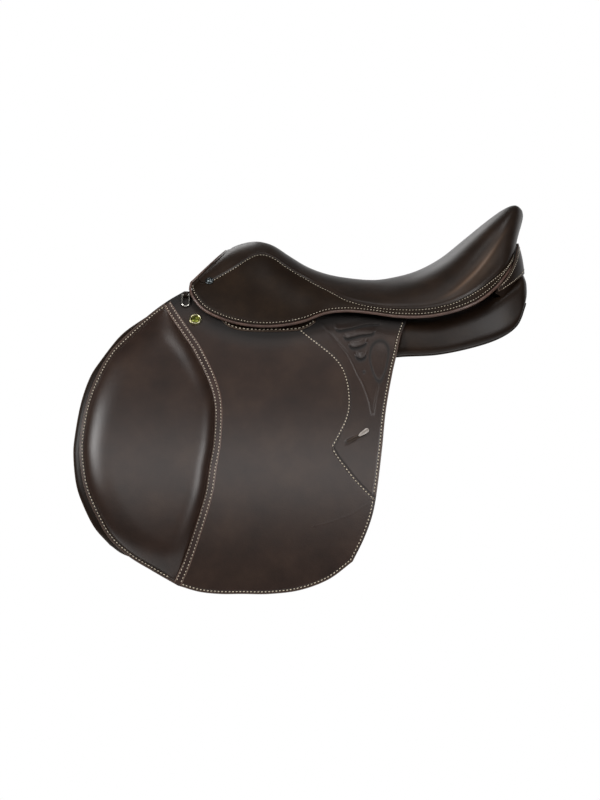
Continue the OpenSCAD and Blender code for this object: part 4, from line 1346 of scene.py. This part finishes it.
    def nails(self) -> None:
        """Domed nails at the front of the seat."""
        bm = bmesh.new()
        for t in (-self.nail_share, self.nail_share):
            n = Vector(SEAT.normal(self.nail_station, t))
            lathe(bm, NAIL, Vector(SEAT.point(self.nail_station, t)) + n * 0.4 * MM, n)
        self.bench.dress(finished("pommel_nail_heads", bm), Finish.DULL, Slot.BRASS, FIXED, ("pommel_nails",))


@dataclass
class FlapAssembly:
    """Flap, knee pad, strip, panels, grip ribs, loop and under-skirt of each side. Lengths in millimetres."""

    bench: Bench
    pad_crown: float = 17.0
    pad_foot: float = -1.7
    strip_half: float = 5.2
    stud: tuple[float, float] = (-247.0, 48.0)

    def build(self) -> None:
        """Builds every piece of the flaps."""
        self.flap_leather()
        self.knee_pad()
        self.strip()
        self.centre_panel()
        self.rear_insert()
        self.strap_loop()
        self.under_skirt()
        self.studs()

    @staticmethod
    def on(line: Points, out: float) -> tuple[Points, Points]:
        """Row for stitches along a line on the near flap: dense path and outward directions."""
        dense = along(line, np.linspace(0, 1, 400))
        return FLAP.place(dense, out), FLAP.normal(dense[:, 1])

    @staticmethod
    def sheltered(net: Points) -> Points:
        """Share of painted shadow under the skirt's edge: up to 0.9 from 8 mm below the edge upwards, and
        none by 34 mm below.
        """
        edge = even(np.array(SEAT_EDGE)[1:13, [0, 2]], 120)
        return 0.9 * ease(clamp((net[..., 1] - np.interp(net[..., 0], edge[:, 0], edge[:, 1]) + 34) / 26))

    def flap_leather(self) -> None:
        """Base leather of the flap with its fixed head, in one sheet that bends at the fold."""
        front, bottom, rear = even(FLAP_FRONT, 120), even(FLAP_BOTTOM, 80), even(FLAP_REAR, 100)
        net = coons(even(FLAP_TOP, 100), even(FLAP_BOTTOM, 100), front, even(FLAP_REAR, 120))
        sewn = np.concatenate([front, bottom[1:], rear[::-1][1:]])
        # The flap's top is darkened with painted shadow under the skirt
        piece = sheet("flap_leather", FLAP.place(net, -1.75), FLAP_OUT, 2.6, 0.8, near_line(net, sewn),
                      marks={"hollow": self.sheltered(net)})
        self.bench.dress_pair(piece, Finish.FLAP, Slot.LEATHER, FLAP_BEND,
                              ("flap_{side}", "flap_head_{side}"))

    def knee_pad(self) -> None:
        """Stuffed knee pad with a flat sewn flange, between the flap's front edge and the strip."""
        edges = (beside(even(FLAP_FRONT, 400, 1.05), 0.9),
                 beside(even(STRIP_LINE, 400), -self.strip_half + 1.0))
        left, right = (along(line[::-1], np.linspace(0, 1, 113)) for line in edges)
        net = ruled(left, right, crowded(56, 0.75)).swapaxes(0, 1)
        from_front, from_strip = near_line(net, left), near_line(net, right)
        wide = np.linalg.norm(right - left, axis=1)[None, :]
        crown = self.pad_crown * np.tanh(wide / 60)
        rise = swell(from_front - 5.4, 38.0, 2.0) * swell(from_strip - 1.5, 25.0, 2.0)
        flange = 1.1 * swell(from_front, 1.2) * swell(from_strip, 1.2)
        groove = -0.8 * bell(from_front - 5.6, 0.9)
        height = flange + groove * (from_strip > 4) + crown * rise
        piece = cushion("knee_pad_cushion", FLAP.place(net, self.pad_foot + height),
                        FLAP.place(net, self.pad_foot), np.minimum(from_front, 30))
        self.bench.dress_pair(piece, Finish.FLAP, Slot.LEATHER, FLAP_BEND, ("knee_pad_{side}",), 0.9)
        row = self.on(beside(even(FLAP_FRONT, 400, 1.3, 13.6), 4.0), -0.55)
        self.bench.sew(FLAP_THREAD, "pad_stitches", [row], FLAP_BEND)

    def strip(self) -> None:
        """Reinforcing strip between the pad and the centre panel, sewn along both edges."""
        line = even(STRIP_LINE, 160)
        across = np.linspace(-1, 1, 9)
        net = np.stack([beside(line, self.strip_half * w) for w in across])
        out = np.broadcast_to((0.9 - 0.5 * np.abs(across) ** 3)[:, None], net.shape[:2])
        edge = np.broadcast_to(((1 - np.abs(across)) * self.strip_half)[:, None], net.shape[:2])
        piece = sheet("strip_leather", FLAP.place(net, out), FLAP_OUT, 2.2, 0.6, edge)
        self.bench.dress_pair(piece, Finish.STRIP, Slot.PIPING, FLAP_BEND, ("flap_strip_{side}",))
        rows = [self.on(beside(even(STRIP_LINE, 400, 0.1, 10.9), aside), 0.95) for aside in (-3.1, 3.1)]
        self.bench.sew(STRIP_THREAD, "strip_stitches", rows, FLAP_BEND)

    def centre_panel(self) -> None:
        """Overlay between the strip and the shaped rear edge, sewn to the flap."""
        top = even(FLAP_TOP, 60, 0.4, 4.76) + np.array([0, -1.2])
        upper, lower = even(PANEL_UPPER, 60), even(PANEL_LOWER, 24)
        tail = even(FLAP_REAR, 24, 6.22, 8.9) - np.array([0.8, 0])
        lower[-1] = tail[0]
        right = np.concatenate([upper, lower[1:], tail[1:]])
        right[0] = top[-1]
        left = along(even(STRIP_LINE, 400, 0.6, 10.95), np.linspace(0, 1, len(right)))
        left = np.concatenate([[top[0]], left[1:]])
        bottom = even(FLAP_BOTTOM, 60, 0.05, 6.95) + np.array([0, 0.8])
        bottom[0], bottom[-1] = left[-1], right[-1]
        net = coons(top, bottom, left, right)
        # The stitches follow the shaped edge at 1.9 mm, where the finish has its groove
        edge = np.minimum(near_line(net, right) + 1.7, near_line(net, bottom))
        # The panel's top is darkened with painted shadow under the skirt
        piece = sheet("centre_panel", FLAP.place(net), FLAP_OUT, 1.55, 0.55, edge,
                      marks={"hollow": self.sheltered(net)})
        self.bench.dress_pair(piece, Finish.FLAP, Slot.LEATHER, FLAP_BEND, ("flap_panel_{side}",))
        low = np.concatenate([even(FLAP_BOTTOM, 300, 0.15)[:-1], even(FLAP_REAR, 200, 6.25)[::-1]])
        lines = ((even(PANEL_UPPER, 300, 0.9), -1.9), (even(PANEL_LOWER, 200, 0.15, 4.9), -1.9), (low, 3.6))
        rows = [self.on(beside(line, offset), 0.1) for line, offset in lines]
        self.bench.sew(FLAP_THREAD, "panel_stitches", rows, FLAP_BEND)

    def rear_insert(self) -> None:
        """Thin inlay behind the centre panel, up to the flap's rear edge, with its pressed relief."""
        left = np.concatenate([even(PANEL_UPPER, 150), even(PANEL_LOWER, 60)[1:]]) - np.array([2.0, 0])
        rear = even(FLAP_REAR, len(left) - 1, 0.0, 6.2) - np.array([0.8, 0])
        net = ruled(left, rear, np.linspace(0, 1, 91)).swapaxes(0, 1)[:, ::-1]
        height, pressed = self.relief(net)
        # Painted thin shadow of the overlay's cut edges on the inlay
        lower = 0.85 * bell(near_line(net, even(PANEL_LOWER, 60)), 1.7, 4)
        upper = 0.4 * bell(near_line(net, even(PANEL_UPPER, 100)), 1.2, 4)
        # Painted shade of the relief's hollows, the cut edges and the skirt, taken together
        shade = np.maximum.reduce([pressed, lower, upper, self.sheltered(net)])
        piece = sheet("rear_insert", FLAP.place(net, height - 0.6), FLAP_OUT, 1.1, 0.35, near_line(net, rear),
                      marks={"hollow": shade})
        self.bench.dress_pair(piece, Finish.FLAP, Slot.DARK, FLAP_BEND, ("rear_panel_{side}",))
        row = self.on(beside(even(FLAP_REAR, 400, 0.3, 6.1), -3.6), -0.5)
        self.bench.sew(FLAP_THREAD, "insert_stitches", [row], FLAP_BEND)

    @staticmethod
    def relief(net: Points) -> tuple[Points, Points]:
        """Pressed relief: grip ribs, two creases that meet, a plain long oval and the loop's slot.

        Args:
            net: Points on the flap in millimetres.

        Returns:
            Height above the inlay in millimetres, and the share of painted shade in the hollows.
        """
        height, shade = np.zeros(net.shape[:-1]), np.zeros(net.shape[:-1])
        for rib in GRIP_RIBS:
            line = even(rib, 40)
            over = (net[..., 1] - np.interp(net[..., 0], line[:, 0], line[:, 1])) * 0.97
            ends = ease(clamp(np.minimum(net[..., 0] - line[0, 0], line[-1, 0] - net[..., 0]) / 4 + 0.4))
            step = 1 / (1 + np.exp(-(over - 1.7) / 0.35))
            height += ends * (2.3 * clamp(1 - (over - 1.7) / 7) ** 0.8 * step - 0.8 * bell(over, 1.3))
            # Painted shadow line under each rib's step
            shade = np.maximum(shade, ends * bell(over, 2.6))
        for line in (CREASE_LEFT, CREASE_RIGHT):
            height += 0.75 * bell(near_line(net, even(line, 40)), 1.4)
        spot = np.exp(-np.sum((net - np.array([-21.0, -20.0])) ** 2, axis=-1) / 4.0)
        # The oval is wider above its middle
        up = (net[..., 1] + 6.0) / 25.0
        x = net[..., 0] + 1.2 - 2.4 * clamp(up)
        r = np.sqrt((x / (11.0 * (1 + 0.35 * np.clip(up, -1, 1)))) ** 2 + np.abs(up) ** 2.2)
        rim = bell((r - 1.05) * 11, 1.5)
        height += 0.45 * clamp((1 - r) / 0.45) - 0.35 * rim
        # Slot into which the loop runs, with painted shade in it
        from_slot = net - np.array([-40.0, -107.2])
        u, w = from_slot @ np.array([0.92, 0.39]), from_slot @ np.array([-0.39, 0.92])
        slot = np.exp(-((u / 7.0) ** 4 + (w / 2.7) ** 4))
        # Painted shade under the ribs, in the dot, in the oval's rim groove and in the slot
        return height - 0.8 * spot - 1.2 * slot, np.maximum.reduce([shade, 0.9 * spot, 0.85 * rim, slot])

    def strap_loop(self) -> None:
        """Loop for the end of the stirrup leather: a strap out of a slot that ends in a tab painted pale as a
        highlight.
        """
        root, tab = even(LOOP_ROOT, 24), even(LOOP_TAB, 30)
        share = np.linspace(0, 1, len(root))
        piece = self.strap_piece("loop_root", root, 1.9 + 0.6 * share, -1.3 + 3.6 * share ** 1.6)
        self.bench.dress_pair(piece, Finish.DARK, Slot.DARK, ON_FLAP, ("keeper_{side}",))
        share = np.linspace(0, 1, len(tab))
        ends = np.clip(np.minimum(share, 1 - share) / 0.16, 0.02, 1)
        half = 2.7 * np.sqrt(1 - (1 - ends) ** 2) * (0.5 + 0.5 * clamp(share / 0.5))
        piece = self.strap_piece("loop_tab", tab, half, 3.0 + 0.7 * np.sin(np.pi * share) - 1.6 * share ** 2)
        # The tab's pale colour is a painted highlight
        self.bench.dress_pair(piece, Finish.RUBBED, Slot.LEATHER, ON_FLAP)

    @staticmethod
    def strap_piece(name: str, line: Points, half: Points, out: Points) -> Piece:
        """Narrow strap along a line on the near flap.

        Args:
            name: Name of the object.
            line: Middle line as x and z.
            half: Half width at each point.
            out: Height of its face at each point.

        Returns:
            The object.
        """
        across = np.linspace(-1, 1, 9)[:, None]
        aside = beside(line, 1.0) - line
        net = line[None] + aside[None] * (across * half[None])[..., None]
        edge = (1 - np.abs(across)) * half[None]
        return sheet(name, FLAP.place(net, out[None] - 0.5 * np.abs(across) ** 3), FLAP_OUT, 1.7, 0.4, edge)

    def under_skirt(self) -> None:
        """Small leather tab under the skirt with a stitched edge."""
        low = even(UNDER_LOW, 60)
        top = np.stack([low[:, 0], np.full(len(low), 60.0)], axis=1)
        net = ruled(low, top, np.linspace(0, 1, 13))
        piece = sheet("under_skirt_leather", FLAP.place(net, 2.6), FLAP_OUT, 2.0, 0.7, near_line(net, low))
        self.bench.dress_pair(piece, Finish.DARK, Slot.DARK, FIXED, ("under_skirt_{side}",))
        self.bench.sew(TAB_THREAD, "under_skirt_stitches", [self.on(beside(low, 2.2), 2.8)], FIXED)

    def studs(self) -> None:
        """Studs on the flaps' heads: a brass dome in a raised pale rim."""
        parts = (("flap_stud_domes", STUD_DOME, Finish.BRASS, ("flap_studs",)),
                 ("flap_stud_rims", STUD_RIM, Finish.PALE, ()))
        place, out = FLAP.place(np.array(self.stud), 0.2), FLAP.normal(self.stud[1])
        for name, profile, finish, nodes in parts:
            bm = bmesh.new()
            for side in Side:
                lathe(bm, profile, Vector(place * side.flip), Vector(out * side.flip))
            self.bench.dress(finished(name, bm), finish, Slot.BRASS, FIXED, nodes)


@dataclass
class PanelAssembly:
    """Panel cushions and sweat flaps. Lengths in millimetres."""

    bench: Bench
    squareness: float = 0.5
    end_fullness: float = 2.2
    welt_radius: float = 1.6
    welt_angle: float = -1.02
    sweat_depth: float = 19.1
    sweat_thickness: float = 3.0

    def build(self) -> None:
        """Builds the panels and the sweat flaps."""
        self.cushions()
        self.sweat_flaps()

    def section(self, u: Points, a: Points) -> Points:
        """Point on the near panel cushion.

        Args:
            u: Place along it, from 0 to 13.
            a: Angle round its section, 0 at the outer side and a quarter turn at the top.

        Returns:
            Points in metres.
        """
        p = spline(PANEL_SECTIONS, u)
        m, n = ((0.5 + 0.5 * np.sign(w) * np.abs(w) ** self.squareness)[..., None]
                for w in (np.cos(a), np.sin(a)))
        top_in, top_out, low_out, low_in = (p[..., k:k + 2] for k in (1, 3, 5, 7))
        q = (1 - m) * ((1 - n) * low_in + n * top_in) + m * ((1 - n) * low_out + n * top_out)
        return np.stack([p[..., 0], -q[..., 0], q[..., 1]], axis=-1) * MM

    def cushions(self) -> None:
        """Stuffed panels with closed rounded ends, and a welt along the lower outer seam."""
        bm = bmesh.new()
        bmesh.ops.create_uvsphere(bm, u_segments=56, v_segments=130, radius=1.0)
        co = np.array([v.co for v in bm.verts])
        last = len(PANEL_SECTIONS) - 1
        u = last * (np.arcsin(np.clip(co[:, 2], -1, 1)) / math.pi + 0.5)
        outer = self.section(u, np.arctan2(co[:, 1], co[:, 0]))
        middle = spline(PANEL_SECTIONS, u)
        y, z = (middle[:, k::2].mean(1) for k in (1, 2))
        heart = np.stack([middle[:, 0], -y, z], axis=1) * MM
        round_off = swell(np.minimum(u, last - u), 0.4, self.end_fullness)
        for v, p in zip(bm.verts, heart + (outer - heart) * round_off[:, None]):
            v.co = p
        bmesh.ops.recalc_face_normals(bm, faces=bm.faces[:])
        piece = finished("panel_cushion", bm)
        self.bench.dress_pair(piece, Finish.DARK, Slot.DARK, FIXED, ("panel_{side}",), 0.8)
        line = self.section(np.linspace(0.9, 12.3, 220), np.full(220, self.welt_angle))
        self.bench.dress_pair(round_cord("panel_welt", line, self.welt_radius), Finish.DARK, Slot.DARK, FIXED)

    def sweat_flaps(self) -> None:
        """Sweat flaps under the girth straps, with a plain rounded edge."""
        front, bottom, rear = even(SWEAT_FRONT, 100), even(SWEAT_BOTTOM, 80), even(SWEAT_REAR, 100)
        net = coons(even(SWEAT_TOP, 80), bottom, front, rear)
        # Finer columns at the front, where the edge rolls inwards
        net = np.concatenate([net[:1] + (net[1:2] - net[:1]) * k for k in (0.0, 0.25, 0.5, 0.75)] + [net[1:]])
        edge = near_line(net, np.concatenate([front, bottom[1:], rear[::-1][1:]]))
        rolled = 4.2 * clamp(1 - edge / 9) ** 2
        piece = sheet("sweat_flap_leather", FLAP.place(net, -self.sweat_depth - rolled), FLAP_OUT,
                      self.sweat_thickness, 0.9, edge)
        self.bench.dress_pair(piece, Finish.DARK, Slot.DARK, FIXED, ("sweat_flap_{side}",))


@dataclass
class StrapWork:
    """Girth billets, buckle guards, webs, lining and dee chapes, each cut from its node's own shape."""

    bench: Bench
    nodes: dict[str, Piece]
    # Stitches on a billet: from its edge, from its end, height of their start, depth under the flap's face
    from_edge: float = 3.2
    from_end: float = 16.0
    start: float = 38.0
    depth: float = 12.1

    def build(self) -> None:
        """Builds the straps and the small leatherwork."""
        for side in Side:
            for place in ("front", "mid", "rear"):
                node = f"billet_{place}_{side.value}"
                self.cut(node, f"girth_{node}", 0.7, Carrier(node))
                self.billet_stitches(node, side)
            guard, chape = f"buckle_guard_{side.value}", f"dee_chape_{side.value}"
            self.cut(guard, f"buckle_guard_plate_{side.value}", 0.5, Carrier(f"guard_{side.value}"))
            self.cut(chape, f"dee_chape_loop_{side.value}", 0.3, FIXED)
        self.cut("channel_lining", "channel_lining_leather", 0.4, FIXED)
        for node in ("seat_webs", "girth_webs"):
            self.cut(node, f"{node}_linen", 0.3, FIXED, Finish.WEB, Slot.WEB)

    def cut(self, node: str, name: str, rounding: float, carrier: Carrier, finish: Finish = Finish.DARK,
            slot: Slot = Slot.DARK) -> None:
        """Copies a node with merged faces and rounded edges, and dresses the copy.

        Args:
            node: Name of the node.
            name: Name of the new piece.
            rounding: Radius of its edges in millimetres.
            carrier: How it follows the bodies.
            finish: Its finish.
            slot: Slot of the record.
        """
        bm = bmesh.new()
        bm.from_mesh(self.nodes[node].data)
        bmesh.ops.remove_doubles(bm, verts=bm.verts[:], dist=WELD)
        bmesh.ops.dissolve_limit(bm, angle_limit=math.radians(1.0), verts=bm.verts[:], edges=bm.edges[:])
        piece = finished(name, bm)
        round_edges(piece, rounding, 2, 40)
        self.bench.dress(settle(piece, 45), finish, slot, carrier, (node,))

    def billet_stitches(self, node: str, side: Side) -> None:
        """Sews stitches down both edges of a billet.

        Args:
            node: The billet's node.
            side: Side that it is on.
        """
        low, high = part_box(node)
        middle = (low[0] + high[0]) / 2 / MM
        half = (high[0] - low[0]) / 2 / MM - self.from_edge
        z = np.linspace(self.start, low[2] / MM + self.from_end, 200)
        lines = [np.stack([np.full_like(z, middle + shift), z], axis=1) for shift in (-half, half)]
        rows = [(FLAP.place(line, -self.depth) * side.flip, FLAP.normal(z) * side.flip) for line in lines]
        self.bench.sew(STRAP_THREAD, f"{node}_stitches", rows, Carrier(node), False)


@dataclass
class Hardware:
    """Tree and metal parts, which keep their shapes and get their finishes."""

    bench: Bench
    nodes: dict[str, Piece]
    kinds: tuple[tuple[str, Finish], ...] = (
        ("tree_springs", Finish.STEEL), ("tree_rivets", Finish.STEEL), ("head_plate", Finish.STEEL),
        ("cantle_plate", Finish.STEEL), ("bar_", Finish.STEEL), ("stirrup_bar", Finish.STEEL),
        ("dee_left", Finish.NICKEL), ("dee_right", Finish.NICKEL), ("tree", Finish.BEECH))

    def build(self) -> None:
        """Gives each rigid node the finish of the first kind that its name starts with."""
        for name, node in self.nodes.items():
            finish = next((kind for start, kind in self.kinds if name.startswith(start)), None)
            if finish is None:
                continue
            node.data.materials.clear()
            node.data.materials.append(self.bench.materials[finish])
            LOG.info("%s keeps its shape", name)


@dataclass(frozen=True)
class Softbox:
    """Soft rectangular lamp: place in metres, size, and power in watts."""

    name: str
    place: tuple[float, float, float]
    aim: tuple[float, float, float]
    wide: float
    high: float
    power: float

    def hang(self) -> None:
        """Puts the lamp into the scene, turned to its aim."""
        lamp = bpy.data.lights.new(self.name, "AREA")
        lamp.shape = "RECTANGLE"
        lamp.size, lamp.size_y, lamp.energy = self.wide, self.high, self.power
        holder = link(self.name, lamp)
        holder.location = self.place
        holder.rotation_euler = (Vector(self.aim) - Vector(self.place)).to_track_quat("-Z", "Y").to_euler()


@dataclass(frozen=True)
class Studio:
    """Pale floor, soft lamps, white surroundings and the camera. Lengths in metres, angles in degrees."""

    floor_x: float = -0.1
    floor_z: float = -0.95
    floor_radius: float = 1.4
    floor_fade: tuple[float, float] = (0.55, 1.0)
    # Brightness of the room in shiny surfaces, and what it gives at least to dull ones
    room: float = 0.07
    fill: float = 0.24
    # Parts of the view directions over which the white wall begins and ends: backwards and upwards
    wall_back: tuple[float, float] = (0.4, 0.9)
    wall_up: tuple[float, float] = (0.5, 0.2)
    lens: float = 82.98
    sensor: float = 36.0
    stand: tuple[float, float, float] = (-0.106, -2.5937, 0.1134)
    tilt: float = 86.0
    lamps: tuple[Softbox, ...] = (
        Softbox("front_softbox", (-0.2, -2.25, 1.07), (-0.15, -0.2, -0.12), 1.7, 0.85, 11.3),
        Softbox("left_softbox", (-1.85, -1.45, 1.15), (-0.35, -0.2, -0.05), 0.75, 1.0, 36.0),
        Softbox("right_softbox", (1.2, -1.75, 0.65), (-0.1, -0.2, -0.05), 0.85, 0.9, 22.0),
        Softbox("top_softbox", (0.2, -0.5, 2.6), (0.1, 0.0, 0.1), 0.7, 0.6, 9.0),
        Softbox("rear_softbox", (-0.68, 2.03, 1.4), (0.1, 0.0, 0.1), 1.0, 0.7, 6.4),
    )

    def build(self) -> None:
        """Sets up the floor, the lamps, the surroundings and the camera."""
        self.floor()
        self.surroundings()
        for lamp in self.lamps:
            lamp.hang()
        self.camera()

    def floor(self) -> None:
        """Round pale floor that keeps the shadow and runs out into the white surroundings."""
        bm = bmesh.new()
        bmesh.ops.create_circle(bm, cap_ends=True, segments=96, radius=self.floor_radius)
        bmesh.ops.translate(bm, vec=(self.floor_x, 0, self.floor_z), verts=bm.verts[:])
        piece = finished("studio_floor", bm)
        # Matt white paint that turns into plain white towards the rim
        material, add = blank("matt_white_paint")
        middle = (-self.floor_x, 0, -self.floor_z)
        flat = add("VectorMath", {0: add("TexCoord", out="Object"), 1: middle}, operation="ADD")
        reach = add("VectorMath", {0: flat}, "Value", operation="LENGTH")
        start, end = self.floor_fade
        fade = add("MapRange", {"Value": reach, "From Min": start, "From Max": end},
                   interpolation_type="SMOOTHSTEP")
        paint = add("BsdfDiffuse", {"Color": linear("#f4f4f2")})
        white = add("Emission", {"Color": WHITE, "Strength": 1.0})
        add("OutputMaterial", {"Surface": add("MixShader", {0: fade, 1: paint, 2: white})})
        piece.data.materials.append(material)

    def surroundings(self) -> None:
        """White backdrop behind the saddle, also in shiny surfaces, and a dim room in front of it."""
        world = bpy.data.worlds.new("studio")
        bpy.context.scene.world = world
        world.use_nodes = True
        world.node_tree.nodes.clear()
        add = partial(add_node, world.node_tree)
        path = add("LightPath").node.outputs
        split = add("SeparateXYZ", {0: add("TexCoord", out="Generated")}).node.outputs
        back, up = (add("MapRange", {"Value": split[axis], "From Min": start, "From Max": end},
                        interpolation_type="SMOOTHSTEP")
                    for axis, (start, end) in (("Y", self.wall_back), ("Z", self.wall_up)))
        wall = add("Math", {0: back, 1: up}, operation="MULTIPLY")
        seen = add("MapRange", {"Value": wall, "To Min": self.room, "To Max": 1.0})
        mirror = add("Math", {0: path["Is Glossy Ray"], 1: path["Is Transmission Ray"]}, operation="MAXIMUM")
        dull = add("Math", {0: seen, 1: self.fill}, operation="MAXIMUM")
        lit = add("Mix", {0: mirror, 2: dull, 3: seen})
        strength = add("Mix", {0: path["Is Camera Ray"], 2: lit, 3: 1.0})
        light = add("Background", {"Color": WHITE, "Strength": strength})
        add("OutputWorld", {"Surface": light})

    def camera(self) -> None:
        """Camera at the photograph's viewing angle."""
        lens = bpy.data.cameras.new("photo_camera")
        lens.lens, lens.sensor_width, lens.sensor_fit = self.lens, self.sensor, "AUTO"
        holder = link("photo_camera", lens)
        holder.location = self.stand
        holder.rotation_euler = (math.radians(self.tilt), 0, 0)
        bpy.context.scene.camera = holder


def main() -> None:
    """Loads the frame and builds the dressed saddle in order."""
    logging.basicConfig(level=logging.INFO, format="%(name)s: %(message)s")
    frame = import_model()
    bpy.context.scene.view_settings.view_transform = "Standard"
    Studio().build()
    bench = Bench()
    SeatAssembly(bench).build()
    FlapAssembly(bench).build()
    PanelAssembly(bench).build()
    StrapWork(bench, frame["nodes"]).build()
    Hardware(bench, frame["nodes"]).build()
    LOG.info("%d pieces", len(bench.made))


if __name__ == "__main__":
    main()
